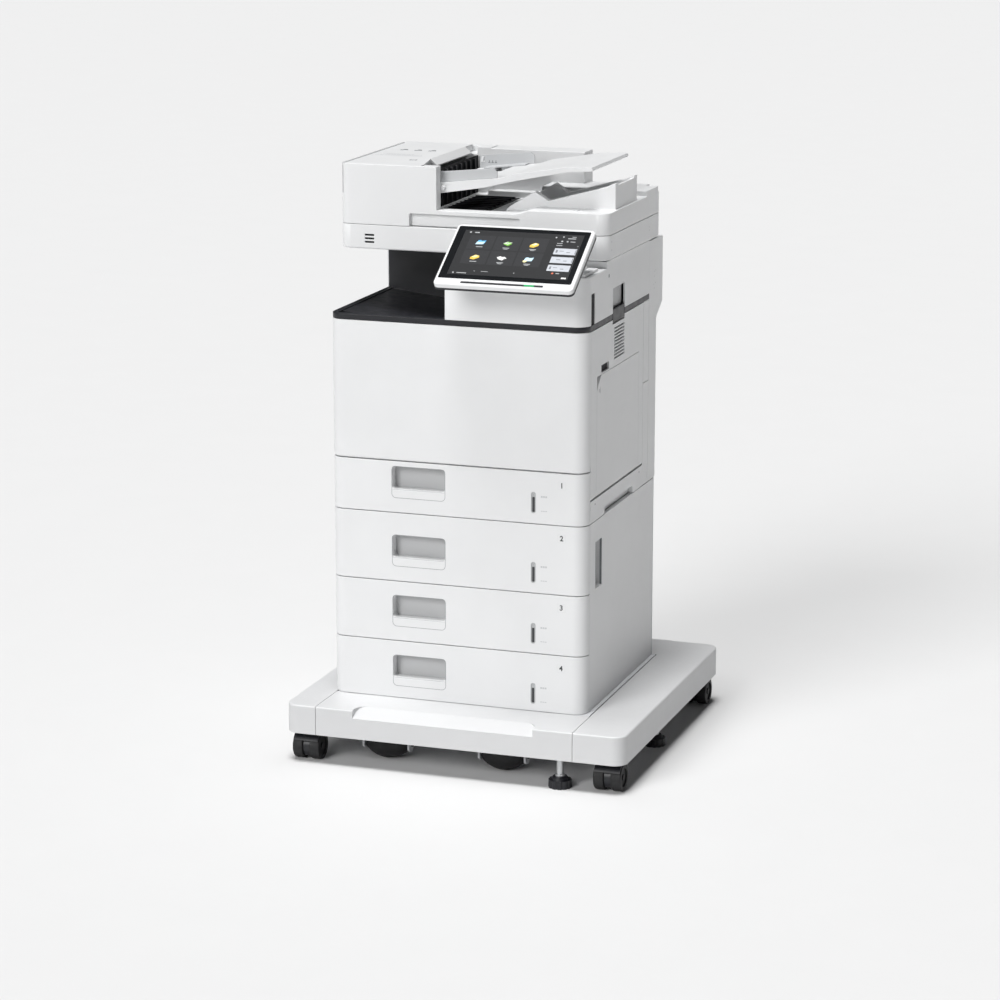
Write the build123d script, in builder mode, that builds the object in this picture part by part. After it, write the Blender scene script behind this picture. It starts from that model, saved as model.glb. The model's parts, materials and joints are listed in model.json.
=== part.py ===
from build123d import *
import os

os.makedirs("parts", exist_ok=True)

# Office photocopier: four paper cassettes, laser engine, flatbed scanner with a document
# feeder, tilting touch panel, on a wheeled pedestal.
# Millimetres. +Z is up, -Y is the front, +X is the right-hand side seen from the front.
# The origin is on the floor, under the middle of the pedestal.

# ---- driving dimensions ----
base_half_x = 325.5
base_half_y = 320.5
base_bottom = 56.0
base_top = 110.0
base_seam_left = -264.5
base_seam_right = 229.0
base_corner = 25.0

body_left, body_right = -270.5, 219.5
body_front, body_rear = -216.5, 214.5
body_mid_x = (body_left + body_right) / 2
body_corner = 25.0
front_depth = 26.0
front_back = body_front + front_depth
skin = 3.0
seam = 1.6

drawer_levels = {4: (110.0, 219.4), 3: (219.4, 332.5), 2: (332.5, 461.4), 1: (461.4, 557.8)}
deck_top = drawer_levels[2][1]
engine_floor = drawer_levels[1][0]
door_bottom = drawer_levels[1][1]
door_top = 813.8
rim_top = 823.5
side_rear = 170.5
right_door_rear = 135.0

column_left = -47.0
column_top = 912.0
upper_cover_top = 924.0
step_y = -100.5
exit_rear_y = 83.5

scan_left, scan_right = -290.0, 224.5
scan_front, scan_rear = -111.5, 229.5
scan_bottom, scan_top = 926.5, 971.0
scan_corner = 22.0

lid_bottom = 971.8
rim_low = 1003.0
rim_high = 1011.0
feeder_top = 1082.0
feeder_rear = 243.5

sheet = 2.0
wall_left, wall_right = -260.0, 202.0
wall_front, wall_rear = -187.5, 208.0
fit = 0.05


def span(pair):
    return pair[1] - pair[0]


def middle(pair):
    return (pair[0] + pair[1]) / 2


def bar(x, y, z, mode=Mode.ADD):
    """Rectangular block between three pairs of limits."""
    with Locations((middle(x), middle(y), middle(z))):
        Box(span(x), span(y), span(z), mode=mode)


def front_rounded(x, y, z, radius, mode=Mode.ADD, left=True, right=True):
    """Upright block whose two front vertical corners are rounded."""
    with BuildSketch(Plane.XY.offset(z[0])) as outline:
        with Locations((middle(x), middle(y))):
            Rectangle(span(x), span(y))
        corners = outline.vertices().group_by(Axis.Y)[0].sort_by(Axis.X)
        chosen = ([corners[0]] if left else []) + ([corners[-1]] if right else [])
        fillet(chosen, radius)
    extrude(outline.sketch, amount=span(z), mode=mode)


def all_rounded(x, y, z, radius, mode=Mode.ADD):
    """Upright block with four rounded vertical corners."""
    with BuildSketch(Plane.XY.offset(z[0])) as outline:
        with Locations((middle(x), middle(y))):
            RectangleRounded(span(x), span(y), radius)
    extrude(outline.sketch, amount=span(z), mode=mode)


def rod_x(x, y, z, radius, mode=Mode.ADD):
    """Cylinder along X between two limits, centred at y, z."""
    with BuildSketch(Plane(origin=(x[0], y, z), x_dir=(0, 1, 0), z_dir=(1, 0, 0))) as outline:
        Circle(radius)
    extrude(outline.sketch, amount=span(x), mode=mode)


def rod_y(x, y, z, radius, mode=Mode.ADD):
    """Cylinder along Y between two limits, centred at x, z."""
    with BuildSketch(Plane(origin=(x, y[0], z), x_dir=(1, 0, 0), z_dir=(0, 1, 0))) as outline:
        Circle(radius)
    extrude(outline.sketch, amount=span(y), mode=mode)


def rod_z(x, y, z, radius, mode=Mode.ADD):
    """Cylinder along Z between two limits, centred at x, y."""
    with BuildSketch(Plane.XY.offset(z[0])) as outline:
        with Locations((x, y)):
            Circle(radius)
    extrude(outline.sketch, amount=span(z), mode=mode)


def prism_x(x, points, mode=Mode.ADD):
    """Block along X with a straight-sided outline of (y, z) points."""
    with BuildSketch(Plane.YZ.offset(x[0])) as outline:
        with BuildLine():
            Polyline(*points, close=True)
        make_face()
    extrude(outline.sketch, amount=span(x), mode=mode)


def prism_y(y, points, mode=Mode.ADD):
    """Block along Y with a straight-sided outline of (x, z) points."""
    with BuildSketch(Plane.XZ.offset(-y[1])) as outline:
        with BuildLine():
            Polyline(*points, close=True)
        make_face()
    extrude(outline.sketch, amount=span(y), mode=mode)


def save(part, name):
    part.label = name
    export_step(part, f"parts/{name}.step")


# ---- pedestal ----
caster_x, caster_y = 290.0, 262.0
caster_trail = 22.0
wheel_radius = 25.0
wheel_width = 19.0
stem_radius = 5.0
foot_places = {
    "front_right": (199.5, -298.0),
    "right": (289.5, -3.5),
    "left": (-289.5, -3.5),
    "rear_left": (-199.5, 270.0),
}
stud_radius = 6.5
stud_top = 82.0
roller_places = {"left": (-154.5, -234.5), "right": (71.5, -234.5)}
roller_axis_z = 28.5
roller_radius = 28.0
roller_half = 39.0
ear_radius_hole = 4.0 + fit
beam_rear = 316.0

with BuildPart() as base_frame:
    bar((-262, 227), (-214, 213.6), (base_top - 3, base_top))
    for beam_x in ((-250, -222), (186, 214)):
        bar(beam_x, (-284, beam_rear), (84, base_top - 3))
        bar((beam_x[0] + 2, beam_x[1] - 2), (-285, beam_rear + 1), (83, base_top - 5), mode=Mode.SUBTRACT)
    for beam_y in (-caster_y, caster_y):
        bar((-318, 318), (beam_y - 20, beam_y + 20), (80, 102))
        bar((-319, 319), (beam_y - 18, beam_y + 18), (79, 100), mode=Mode.SUBTRACT)
        for beam_x in (-caster_x, caster_x):
            bar((beam_x - 20, beam_x + 20), (beam_y - 18, beam_y + 18), (base_bottom + 1, base_bottom + 4))
            for side in (-19, 17):
                bar((beam_x + side, beam_x + side + 2), (beam_y - 18, beam_y + 18), (base_bottom + 1, 100))
            rod_z(beam_x, beam_y, (base_bottom + 1, 84), 11)
            rod_z(beam_x, beam_y, (base_bottom, 85), stem_radius + fit, mode=Mode.SUBTRACT)
    for foot_x, foot_y in foot_places.values():
        inner_x = 186 if foot_x > 0 else -250
        bar((min(foot_x - 14, inner_x), max(foot_x + 14, inner_x + 28)), (foot_y - 13, foot_y + 38), (74, 80))
        rod_z(foot_x, foot_y, (66, 80), 12)
        for post_x in (inner_x, inner_x + 24):
            bar((post_x, post_x + 4), (foot_y - 12, foot_y + 37), (74, 86))
        rod_z(foot_x, foot_y, (60, 84), stud_radius + fit, mode=Mode.SUBTRACT)
    for roller_x, roller_y in roller_places.values():
        bar((roller_x - 46, roller_x + 46), (roller_y - 18, roller_y + 18), (78, 81))
        for side in (-1, 1):
            ear = sorted((roller_x + side * 42.5, roller_x + side * 46))
            bar(ear, (roller_y - 14, roller_y + 14), (20, 80))
            rod_x(ear, roller_y, roller_axis_z, 14)
            rod_x((ear[0] - 1, ear[1] + 1), roller_y, roller_axis_z, ear_radius_hole, mode=Mode.SUBTRACT)
save(base_frame.part, "base_frame")


def wing_cover(x, outer_left):
    """Side cover of the pedestal: open below and towards the middle."""
    with BuildPart() as wing:
        with BuildSketch(Plane.XY.offset(base_bottom)) as outline:
            with Locations((middle(x), 0)):
                Rectangle(span(x), 2 * base_half_y)
            outer = outline.vertices().sort_by(Axis.X)
            fillet(outer[:2] if outer_left else outer[-2:], base_corner)
        extrude(amount=base_top - base_bottom)
        fillet(wing.faces().sort_by(Axis.Z)[-1].edges().filter_by(lambda e: not (
            e.geom_type == GeomType.LINE
            and abs(e.center().X - (x[1] if outer_left else x[0])) < 0.1)), 3)
        inner = (x[0] + skin, x[1] + 1) if outer_left else (x[0] - 1, x[1] - skin)
        with BuildSketch(Plane.XY.offset(base_bottom - 1)) as hollow:
            with Locations((middle(inner), 0)):
                Rectangle(span(inner), 2 * (base_half_y - skin))
            outer = hollow.vertices().sort_by(Axis.X)
            fillet(outer[:2] if outer_left else outer[-2:], base_corner - skin)
        extrude(amount=base_top - base_bottom + 1 - skin - 0.2, mode=Mode.SUBTRACT)
    return wing.part


save(wing_cover((-base_half_x, base_seam_left - 0.5), True), "base_cover_left")

rear_skirt_front = 214.6
with BuildPart() as base_cover_right:
    add(wing_cover((base_seam_right + 0.5, base_half_x), False))
    bar((base_seam_left + 0.5, base_seam_right + 1), (rear_skirt_front, base_half_y), (base_bottom, base_top))
    bar((base_seam_left, base_seam_right + 1.5), (rear_skirt_front - 1, base_half_y - skin),
        (base_bottom - 1, base_top - skin), mode=Mode.SUBTRACT)
save(base_cover_right.part, "base_cover_right")

scoop_x = (-192.0, 154.0)
scoop_back = -288.5
scoop_drop = 15.0

with BuildPart() as scoop:
    all_rounded(scoop_x, (-360, scoop_back), (60, base_top + 1), 20)
    prism_x(
        scoop_x,
        [(scoop_back, base_top + 1), (scoop_back, base_top), (-base_half_y, base_top - scoop_drop),
         (-360, base_top - scoop_drop * 2.2), (-360, base_top + 1)],
        mode=Mode.INTERSECT,
    )

with BuildPart() as base_cover_front:
    bar((base_seam_left + 0.5, base_seam_right - 0.5), (-base_half_y, -214.6), (base_bottom, base_top))
    fillet(base_cover_front.faces().sort_by(Axis.Z)[-1].edges().sort_by(Axis.Y)[0], 3)
    prism_x(
        (base_seam_left, base_seam_right),
        [(-317.5, 50), (-200, 50), (-200, base_top - skin), (-286, base_top - skin),
         (-317.5, base_top - scoop_drop - skin - 1)],
        mode=Mode.SUBTRACT,
    )
    add(scoop.part, mode=Mode.SUBTRACT)
save(base_cover_front.part, "base_cover_front")

caster_places = {
    "front_left": (-caster_x, -caster_y, -1),
    "front_right": (caster_x, -caster_y, -1),
    "rear_left": (-caster_x, caster_y, 1),
    "rear_right": (caster_x, caster_y, 1),
}
for name, (swivel_x, swivel_y, way) in caster_places.items():
    axle_y = swivel_y + way * caster_trail
    with BuildPart() as caster_housing:
        rod_z(swivel_x, swivel_y, (50.8, base_bottom - 0.5), 13)
        rod_z(swivel_x, swivel_y, (base_bottom - 1, 84), stem_radius)
        rod_x((swivel_x - 6, swivel_x + 6), axle_y, wheel_radius, 21)
        bar((swivel_x - 6, swivel_x + 6), sorted((swivel_y - way * 8, axle_y)), (30, 52))
        with BuildSketch(Plane(origin=(swivel_x - 24, axle_y, wheel_radius), x_dir=(0, 1, 0),
                               z_dir=(1, 0, 0))):
            Circle(wheel_radius + 3.5)
            Circle(wheel_radius + 0.8, mode=Mode.SUBTRACT)
            with Locations((0, -18)):
                Rectangle(80, 64, mode=Mode.SUBTRACT)
        extrude(amount=48)
        bar((swivel_x - 6, swivel_x + 6), (axle_y - 6, axle_y + 6), (40, wheel_radius + 27))
        rod_x((swivel_x - 30, swivel_x + 30), axle_y, wheel_radius, 4 + fit, mode=Mode.SUBTRACT)
    save(caster_housing.part, f"caster_housing_{name}")
    with BuildPart() as caster_wheels:
        rod_x((swivel_x - 25, swivel_x + 25), axle_y, wheel_radius, 4)
        for side in (-1, 1):
            inner, outer = swivel_x + side * 6.8, swivel_x + side * (6.8 + wheel_width)
            rod_x(sorted((inner, outer)), axle_y, wheel_radius, wheel_radius)
            rod_x(sorted((outer, outer - side * 3)), axle_y, wheel_radius, 17, mode=Mode.SUBTRACT)
            rod_x(sorted((outer - side * 3.5, outer - side * 0.5)), axle_y, wheel_radius, 6)
        rims = caster_wheels.edges().filter_by(GeomType.CIRCLE)
        fillet(rims.filter_by(lambda e: abs(e.radius - wheel_radius) < 0.1), 2)
    save(caster_wheels.part, f"caster_wheels_{name}")

for name, (roller_x, roller_y) in roller_places.items():
    with BuildPart() as front_roller:
        with BuildSketch(Plane.XY.offset(roller_axis_z)):
            with BuildLine():
                ThreePointArc((roller_x - roller_half, roller_y + 13), (roller_x, roller_y + roller_radius),
                              (roller_x + roller_half, roller_y + 13))
                Polyline((roller_x + roller_half, roller_y + 13), (roller_x + roller_half, roller_y),
                         (roller_x - roller_half, roller_y), (roller_x - roller_half, roller_y + 13))
            make_face()
        revolve(axis=Axis((roller_x, roller_y, roller_axis_z), (1, 0, 0)))
        rod_x((roller_x - 49, roller_x + 49), roller_y, roller_axis_z, 4)
    save(front_roller.part, f"front_roller_{name}")

for name, (foot_x, foot_y) in foot_places.items():
    with BuildPart() as leveling_foot:
        rod_z(foot_x, foot_y, (0, 15), 21)
        with Locations((foot_x, foot_y, 7.5)):
            with PolarLocations(22.5, 12):
                Cylinder(3.2, 16, mode=Mode.SUBTRACT)
        with BuildSketch(Plane.XY.offset(15)):
            with Locations((foot_x, foot_y)):
                Circle(17)
        extrude(amount=6, taper=35)
        rod_z(foot_x, foot_y, (20, 25), 9)
        rod_z(foot_x, foot_y, (24, stud_top), stud_radius)
    save(leveling_foot.part, f"leveling_foot_{name}")

# ---- paper cassettes ----
pull_x = (-151.0, -48.1)
pull_ledge = 16.5
pull_height = 58.6
pull_depth = 20.0
pull_bottom = {1: 489.4, 2: 361.0, 3: 247.1, 4: 133.2}
gauge_x = 120.7
gauge_width = 8.0
gauge_z = {1: (481.7, 519.9), 2: (352.4, 390.3), 3: (238.6, 276.3), 4: (124.8, 163.1)}
tray_x = (-245.5, 194.5)
tray_rear = 203.0
tray_wall = 2.5
tray_lift = 8.0
wall_drop = 32.0
guide_half = 105.0
lift_hinge_x = -72.0
lift_end_x = 180.0
lift_height = 6.0
pin_small = 2.0

for number, (low, high) in drawer_levels.items():
    outer_z = (low + seam / 2, high - seam / 2)
    with BuildPart() as cassette_front:
        front_rounded((body_left, body_right), (body_front, front_back), outer_z, body_corner)
        front_rounded((body_left + skin, body_right - skin), (body_front + skin, front_back),
                      (outer_z[0] + skin, outer_z[1] - skin), body_corner - skin, mode=Mode.SUBTRACT)
        pull_z = (pull_bottom[number], pull_bottom[number] + pull_height)
        bar((pull_x[0] - 3, pull_x[1] + 3), (body_front + 1, front_back),
            (pull_z[0] + pull_ledge - 3, pull_z[1] + 3))
        with BuildSketch(Plane.XZ.offset(-(body_front + pull_depth))):
            with Locations((middle(pull_x), middle((pull_z[0] + pull_ledge, pull_z[1])))):
                RectangleRounded(span(pull_x), pull_height - pull_ledge, 6)
        extrude(amount=pull_depth + 1, mode=Mode.SUBTRACT)
        with BuildSketch(Plane.XZ.offset(-(body_front + skin + 1))):
            with Locations((gauge_x, middle(gauge_z[number]))):
                SlotOverall(span(gauge_z[number]), gauge_width, rotation=90)
        extrude(amount=skin + 2, mode=Mode.SUBTRACT)
    save(cassette_front.part, f"cassette_{number}_front")

    floor_z = low + tray_lift
    rim_z = high - wall_drop
    hinge_z = floor_z + tray_wall + lift_height
    with BuildPart() as cassette_tray:
        bar((wall_left, wall_right + 2), (front_back, front_back + 2), (low + 6, high - 12))
        bar(tray_x, (front_back + 2, tray_rear), (floor_z, rim_z))
        bar((tray_x[0] + tray_wall, tray_x[1] - tray_wall), (front_back + 4.5, tray_rear - tray_wall),
            (floor_z + tray_wall, rim_z + 1), mode=Mode.SUBTRACT)
        for side in (-1, 1):
            guide = sorted((side * guide_half, side * (guide_half + 3)))
            bar((-120, 186), guide, (floor_z + 1, rim_z - 2))
            rod_y(lift_hinge_x, (guide[0] - 1, guide[1] + 1), hinge_z, pin_small + fit, mode=Mode.SUBTRACT)
        bar((-124, -121), (-40, 40), (floor_z + 1, rim_z - 2))
        bar((-150, -124), (-12, 12), (floor_z + 1, floor_z + 10))
    save(cassette_tray.part, f"cassette_{number}_tray")

    with BuildPart() as lift_plate:
        bar((lift_hinge_x - 4, lift_end_x), (-guide_half + 3, guide_half - 3), (hinge_z - 0.8, hinge_z + 0.8))
        rod_y(lift_hinge_x, (-guide_half - 2, guide_half + 2), hinge_z, pin_small)
        for hole_x in (-20, 60, 140):
            bar((hole_x - 12, hole_x + 12), (-30, 30), (hinge_z - 3, hinge_z + 3), mode=Mode.SUBTRACT)
    save(lift_plate.part, f"cassette_{number}_lift_plate")

# ---- pickup rollers, one above each cassette ----
pickup_x = 150.0
pickup_drop = 16.0
pickup_radius = 11.0
pickup_shaft = 3.0
pickup_ear = 70.0
for number, (low, high) in drawer_levels.items():
    pickup_z = high - sheet - pickup_drop
    with BuildPart() as pickup_roller:
        rod_y(pickup_x, (-pickup_ear - 4, pickup_ear + 4), pickup_z, pickup_shaft)
        for side in (-1, 1):
            rod_y(pickup_x, sorted((side * 18, side * 48)), pickup_z, pickup_radius)
        rod_y(pickup_x, (pickup_ear - 8, pickup_ear - 2), pickup_z, 8)
    save(pickup_roller.part, f"pickup_roller_{number}")


def cassette_bay(low, high):
    """Rails for one cassette and the ears that carry its pickup roller."""
    rail_z = (low + tray_lift - 4, low + tray_lift - 0.4)
    bar((wall_left + sheet - 1, tray_x[0] + 10), (wall_front, wall_rear), rail_z)
    bar((tray_x[1] - 10, wall_right + 1), (wall_front, wall_rear), rail_z)
    bar((wall_left, wall_right + sheet), (wall_front, wall_rear), (high - sheet, high))
    pickup_z = high - sheet - pickup_drop
    for side in (-1, 1):
        ear = sorted((side * pickup_ear, side * (pickup_ear + 2.5)))
        bar((pickup_x - 8, pickup_x + 8), ear, (pickup_z, high - 1))
        rod_y(pickup_x, ear, pickup_z, 8)
        rod_y(pickup_x, (ear[0] - 1, ear[1] + 1), pickup_z, pickup_shaft + fit, mode=Mode.SUBTRACT)


# ---- lower cabinet ----
with BuildPart() as deck_frame:
    bar((wall_left, wall_left + sheet), (wall_front, body_rear - 1), (base_top, deck_top))
    bar((wall_right, wall_right + sheet), (wall_front, body_rear - 1), (base_top, deck_top))
    bar((wall_left, wall_right + sheet), (wall_front, body_rear - 1), (base_top, base_top + sheet))
    bar((body_left, body_right), (body_rear - 3, body_rear), (base_top, deck_top - 0.2))
    for number in (4, 3, 2):
        cassette_bay(*drawer_levels[number])
save(deck_frame.part, "deck_frame")


def side_cover(outer_x, inward, y, z):
    """Flat side panel with turned-in edges, open towards the frame."""
    inner_x = outer_x + inward * 9
    bar(sorted((outer_x, inner_x)), y, z)
    bar(sorted((outer_x + inward * skin, inner_x + inward)), (y[0] + skin, y[1] - skin),
        (z[0] + skin, z[1] - skin), mode=Mode.SUBTRACT)


grip_y = (-139.5, -116.5)
grip_z = (333.0, 421.0)
with BuildPart() as deck_left_cover:
    side_cover(body_left, 1, (front_back + 0.8, body_rear - 3.4), (base_top + 0.4, deck_top - 0.6))
save(deck_left_cover.part, "deck_left_cover")
with BuildPart() as deck_right_cover:
    side_cover(body_right, -1, (front_back + 0.8, body_rear - 3.4), (base_top + 0.4, deck_top - 0.6))
    bar((205, body_right - 1), (grip_y[0] - 2.5, grip_y[1] + 2.5), (grip_z[0] - 2.5, grip_z[1] + 2.5))
    bar((207.5, body_right + 1), grip_y, grip_z, mode=Mode.SUBTRACT)
    with BuildSketch(Plane.XY.offset(grip_z[0])):
        with BuildLine():
            Polyline((body_right + 1, grip_y[0] - 20), (body_right + 1, grip_y[0] + 1),
                (body_right - 8, grip_y[0] + 1),
                     close=True)
        make_face()
    extrude(amount=span(grip_z), mode=Mode.SUBTRACT)
save(deck_right_cover.part, "deck_right_cover")

# ---- engine: frame, covers and doors ----
door_pin = (-209.5, 565.6)
door_pin_x = (-230.0, 180.0)
lug_half = 4.0
door_pin_radius = 2.0
door_heel = 1.4
right_pivot = (212.5, 509.5)
right_door_bottom = 502.5
right_door_top = 812.5
right_lug_y = (-169.0, 120.0)
right_pin_radius = 2.5
right_lug_half = 3.0
cartridge_x = (-60.0, 100.0)
cartridge_z = (634.0, 710.0)
fuser_x = (110.0, 190.0)
fuser_z = (732.0, 786.0)
inner_front = -187.5

with BuildPart() as main_frame:
    bar((wall_left, wall_left + sheet), (wall_front, wall_rear), (engine_floor, 794))
    bar((wall_right, wall_right + sheet), (wall_front, wall_rear), (engine_floor, 794))
    bar((wall_right - 1, wall_right + 3), (-146, 96), (515, 780), mode=Mode.SUBTRACT)
    bar((wall_left, wall_right + sheet), (wall_front, wall_rear), (engine_floor, engine_floor + sheet))
    bar((wall_left, wall_right + sheet), (wall_rear - sheet, wall_rear), (engine_floor, scan_bottom))
    bar((wall_right, wall_right + sheet), (-94, wall_rear), (790, scan_bottom))
    bar((wall_left, wall_left + sheet), (exit_rear_y + 6, wall_rear), (790, scan_bottom))
    bar((wall_left, wall_right + sheet), (wall_front, wall_rear), (792, 794))
    bar((wall_left, wall_right + sheet), (inner_front, inner_front + sheet), (door_bottom - 2, 794))
    bar((cartridge_x[0] - 3, cartridge_x[1] + 3), (inner_front - 1, inner_front + 3),
        (cartridge_z[0], cartridge_z[1] + 3), mode=Mode.SUBTRACT)
    bar((cartridge_x[0] - 6, cartridge_x[1] + 6), (inner_front, wall_rear),
        (cartridge_z[0] - sheet, cartridge_z[0]))
    bar((fuser_x[0] - 5, wall_right + 1), (-160, 160), (fuser_z[0] - sheet, fuser_z[0]))
    cassette_bay(*drawer_levels[1])
    for lug_x in door_pin_x:
        bar((lug_x - lug_half, lug_x + lug_half), (door_pin[0], inner_front + 1),
            (door_pin[1] - 3.4, door_pin[1] + 3.4))
        rod_x((lug_x - lug_half, lug_x + lug_half), door_pin[0], door_pin[1], 3.4)
        rod_x((lug_x - 11, lug_x + 11), door_pin[0], door_pin[1], door_pin_radius)
    for lug_y in right_lug_y:
        bar((wall_right + 1, right_pivot[0]), (lug_y - 3, lug_y + 3),
            (right_pivot[1] - right_lug_half, right_pivot[1] + right_lug_half))
        rod_y(right_pivot[0], (lug_y - 3, lug_y + 3), right_pivot[1], 4)
        rod_y(right_pivot[0], (lug_y - 8, lug_y + 8), right_pivot[1], right_pin_radius)
    bar((-236, -206), (wall_rear - 1, 216.3), (480, 502))
    bar((-232, -210), (210, 217), (484, 498), mode=Mode.SUBTRACT)
save(main_frame.part, "main_frame")

with BuildPart() as main_left_cover:
    side_cover(body_left, 1, (front_back + 0.8, side_rear - 0.4), (engine_floor + 0.6, door_top - 0.3))
save(main_left_cover.part, "main_left_cover")

panel_grip_y = (-103.5, 73.5)
with BuildPart() as lower_right_panel:
    bar((207, body_right), (front_back + 0.8, right_door_rear - 0.5), (engine_floor + 0.6, 501.7))
    bar((206, body_right - skin), (front_back + 3.8, right_door_rear - 3.5), (466, 498.7), mode=Mode.SUBTRACT)
    bar((208, body_right - 2), (panel_grip_y[0] - 3, panel_grip_y[1] + 3), (461.9, 480))
    bar((210, body_right + 1), panel_grip_y, (460, 477), mode=Mode.SUBTRACT)
save(lower_right_panel.part, "lower_right_panel")

# ---- front door ----
with BuildPart() as front_door:
    door_z = (door_bottom + seam / 2, door_top - seam / 2)
    front_rounded((body_left, body_right), (body_front, front_back), door_z, body_corner)
    bottom_edge = front_door.faces().sort_by(Axis.Z)[0].edges().filter_by(Axis.X).sort_by(Axis.Y)[0]
    fillet(bottom_edge, 4)
    front_rounded((body_left + skin, body_right - skin), (body_front + skin, front_back),
                  (door_z[0] + skin, door_z[1] - skin), body_corner - skin, mode=Mode.SUBTRACT)
    for lug_x in door_pin_x:
        bar((lug_x - 13, lug_x + 13), (body_front + 2, door_pin[0] + 6), (door_z[0] + 1, 574))
        bar((lug_x - lug_half - 0.9, lug_x + lug_half + 0.9), (body_front + skin, front_back + 1),
            (door_z[0] - 1, 576), mode=Mode.SUBTRACT)
        rod_x((lug_x - 11.5, lug_x + 11.5), door_pin[0], door_pin[1], door_pin_radius + fit,
            mode=Mode.SUBTRACT)
    for rib_x in (-140, -20, 100):
        bar((rib_x - 1, rib_x + 1), (body_front + 2, front_back - 4), (door_z[0] + 2, door_z[1] - 2))
    bar((body_left - 1, body_right + 1), (front_back - door_heel, front_back + 2),
        (door_z[0] - 1, door_pin[1] + 2), mode=Mode.SUBTRACT)
save(front_door.part, "front_door")

# ---- right-hand door with the bypass tray ----
tray_door_y = (-153.5, 106.5)
tray_door_top = 724.0
tray_door_inner = 211.0
tray_pivot = (216.0, 508.0)
tray_pin_radius = 1.5
tray_chamfer = 26.0
latch_y = (-60.5, 11.5)
latch_pivot = (217.0, 808.0)
latch_top = 832.0
latch_inner = 214.5
louvre_count = 10
louvre_first = 738.5
louvre_pitch = 6.1
louvre_y = (-50.5, 12.5)
with BuildPart() as right_door:
    bar((right_pivot[0] - 7, body_right), (front_back + 0.8, right_door_rear - 0.5),
        (right_pivot[1], right_door_top))
    rod_y(right_pivot[0], (front_back + 0.8, right_door_rear - 0.5), right_pivot[1], 7)
    bar((tray_door_inner - 2, body_right + 1), (tray_door_y[0] - 0.7, tray_door_y[1] + 0.7),
        (right_door_bottom - 1, tray_door_top + 0.7), mode=Mode.SUBTRACT)
    for side in (0, 1):
        wall_y = tray_door_y[side]
        pin_y = sorted((wall_y + (2 * side - 1) * 4.5, wall_y))
        rod_y(tray_pivot[0], pin_y, tray_pivot[1], tray_pin_radius + fit, mode=Mode.SUBTRACT)
    for lug_y in right_lug_y:
        bar((200, right_pivot[0]), (lug_y - 3.6, lug_y + 3.6), (500, right_pivot[1] + 4.6),
            mode=Mode.SUBTRACT)
        rod_y(right_pivot[0], (lug_y - 3.6, lug_y + 3.6), right_pivot[1], 4.6, mode=Mode.SUBTRACT)
        rod_y(right_pivot[0], (lug_y - 8.5, lug_y + 8.5), right_pivot[1], right_pin_radius + fit,
            mode=Mode.SUBTRACT)
    for row in range(louvre_count):
        slot_z = louvre_first + louvre_pitch * row
        bar((body_right - 5, body_right + 1), louvre_y, (slot_z, slot_z + 3), mode=Mode.SUBTRACT)
    bar((body_right - 8, body_right + 1), (-128.5, -81.5), (727, 741), mode=Mode.SUBTRACT)
    bar((latch_inner - 1, body_right + 1), (latch_y[0] - 1, latch_y[1] + 1), (804, right_door_top + 1),
        mode=Mode.SUBTRACT)
    rod_y(latch_pivot[0], (latch_y[0] - 3.5, latch_y[1] + 3.5), latch_pivot[1], 1.5 + fit, mode=Mode.SUBTRACT)
save(right_door.part, "right_door")

with BuildPart() as mp_tray:
    with BuildSketch(Plane.YZ.offset(tray_door_inner)):
        with BuildLine():
            Polyline(
                (tray_door_y[0], tray_pivot[1]), (tray_door_y[1], tray_pivot[1]),
                (tray_door_y[1], tray_door_top), (tray_door_y[0] + tray_chamfer, tray_door_top),
                (tray_door_y[0], tray_door_top - tray_chamfer), close=True)
        make_face()
    extrude(amount=body_right - tray_door_inner)
    rod_y(tray_pivot[0], tray_door_y, tray_pivot[1], 3.5)
    bar((tray_door_inner, tray_pivot[0]), tray_door_y, (tray_pivot[1] - 3.5, tray_pivot[1] + 0.5))
    rod_y(tray_pivot[0], (tray_door_y[0] - 4, tray_door_y[1] + 4), tray_pivot[1], tray_pin_radius)
    bar((tray_door_inner - 1, tray_door_inner + 3), (-132, 86), (520, 700), mode=Mode.SUBTRACT)
    for rib_y in (-110, -66, -22, 22, 66):
        bar((tray_door_inner, tray_door_inner + 3.5), (rib_y - 1, rib_y + 1), (519, 701))
save(mp_tray.part, "mp_tray")

with BuildPart() as right_latch:
    bar((latch_inner, body_right), latch_y, (latch_pivot[1], latch_top))
    rod_y(latch_pivot[0], latch_y, latch_pivot[1], 2.5)
    fillet(right_latch.edges().filter_by(Axis.Y).group_by(Axis.Z)[-1], 1.5)
    rod_y(latch_pivot[0], (latch_y[0] - 3, latch_y[1] + 3), latch_pivot[1], 1.5)
save(right_latch.part, "right_latch")

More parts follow.
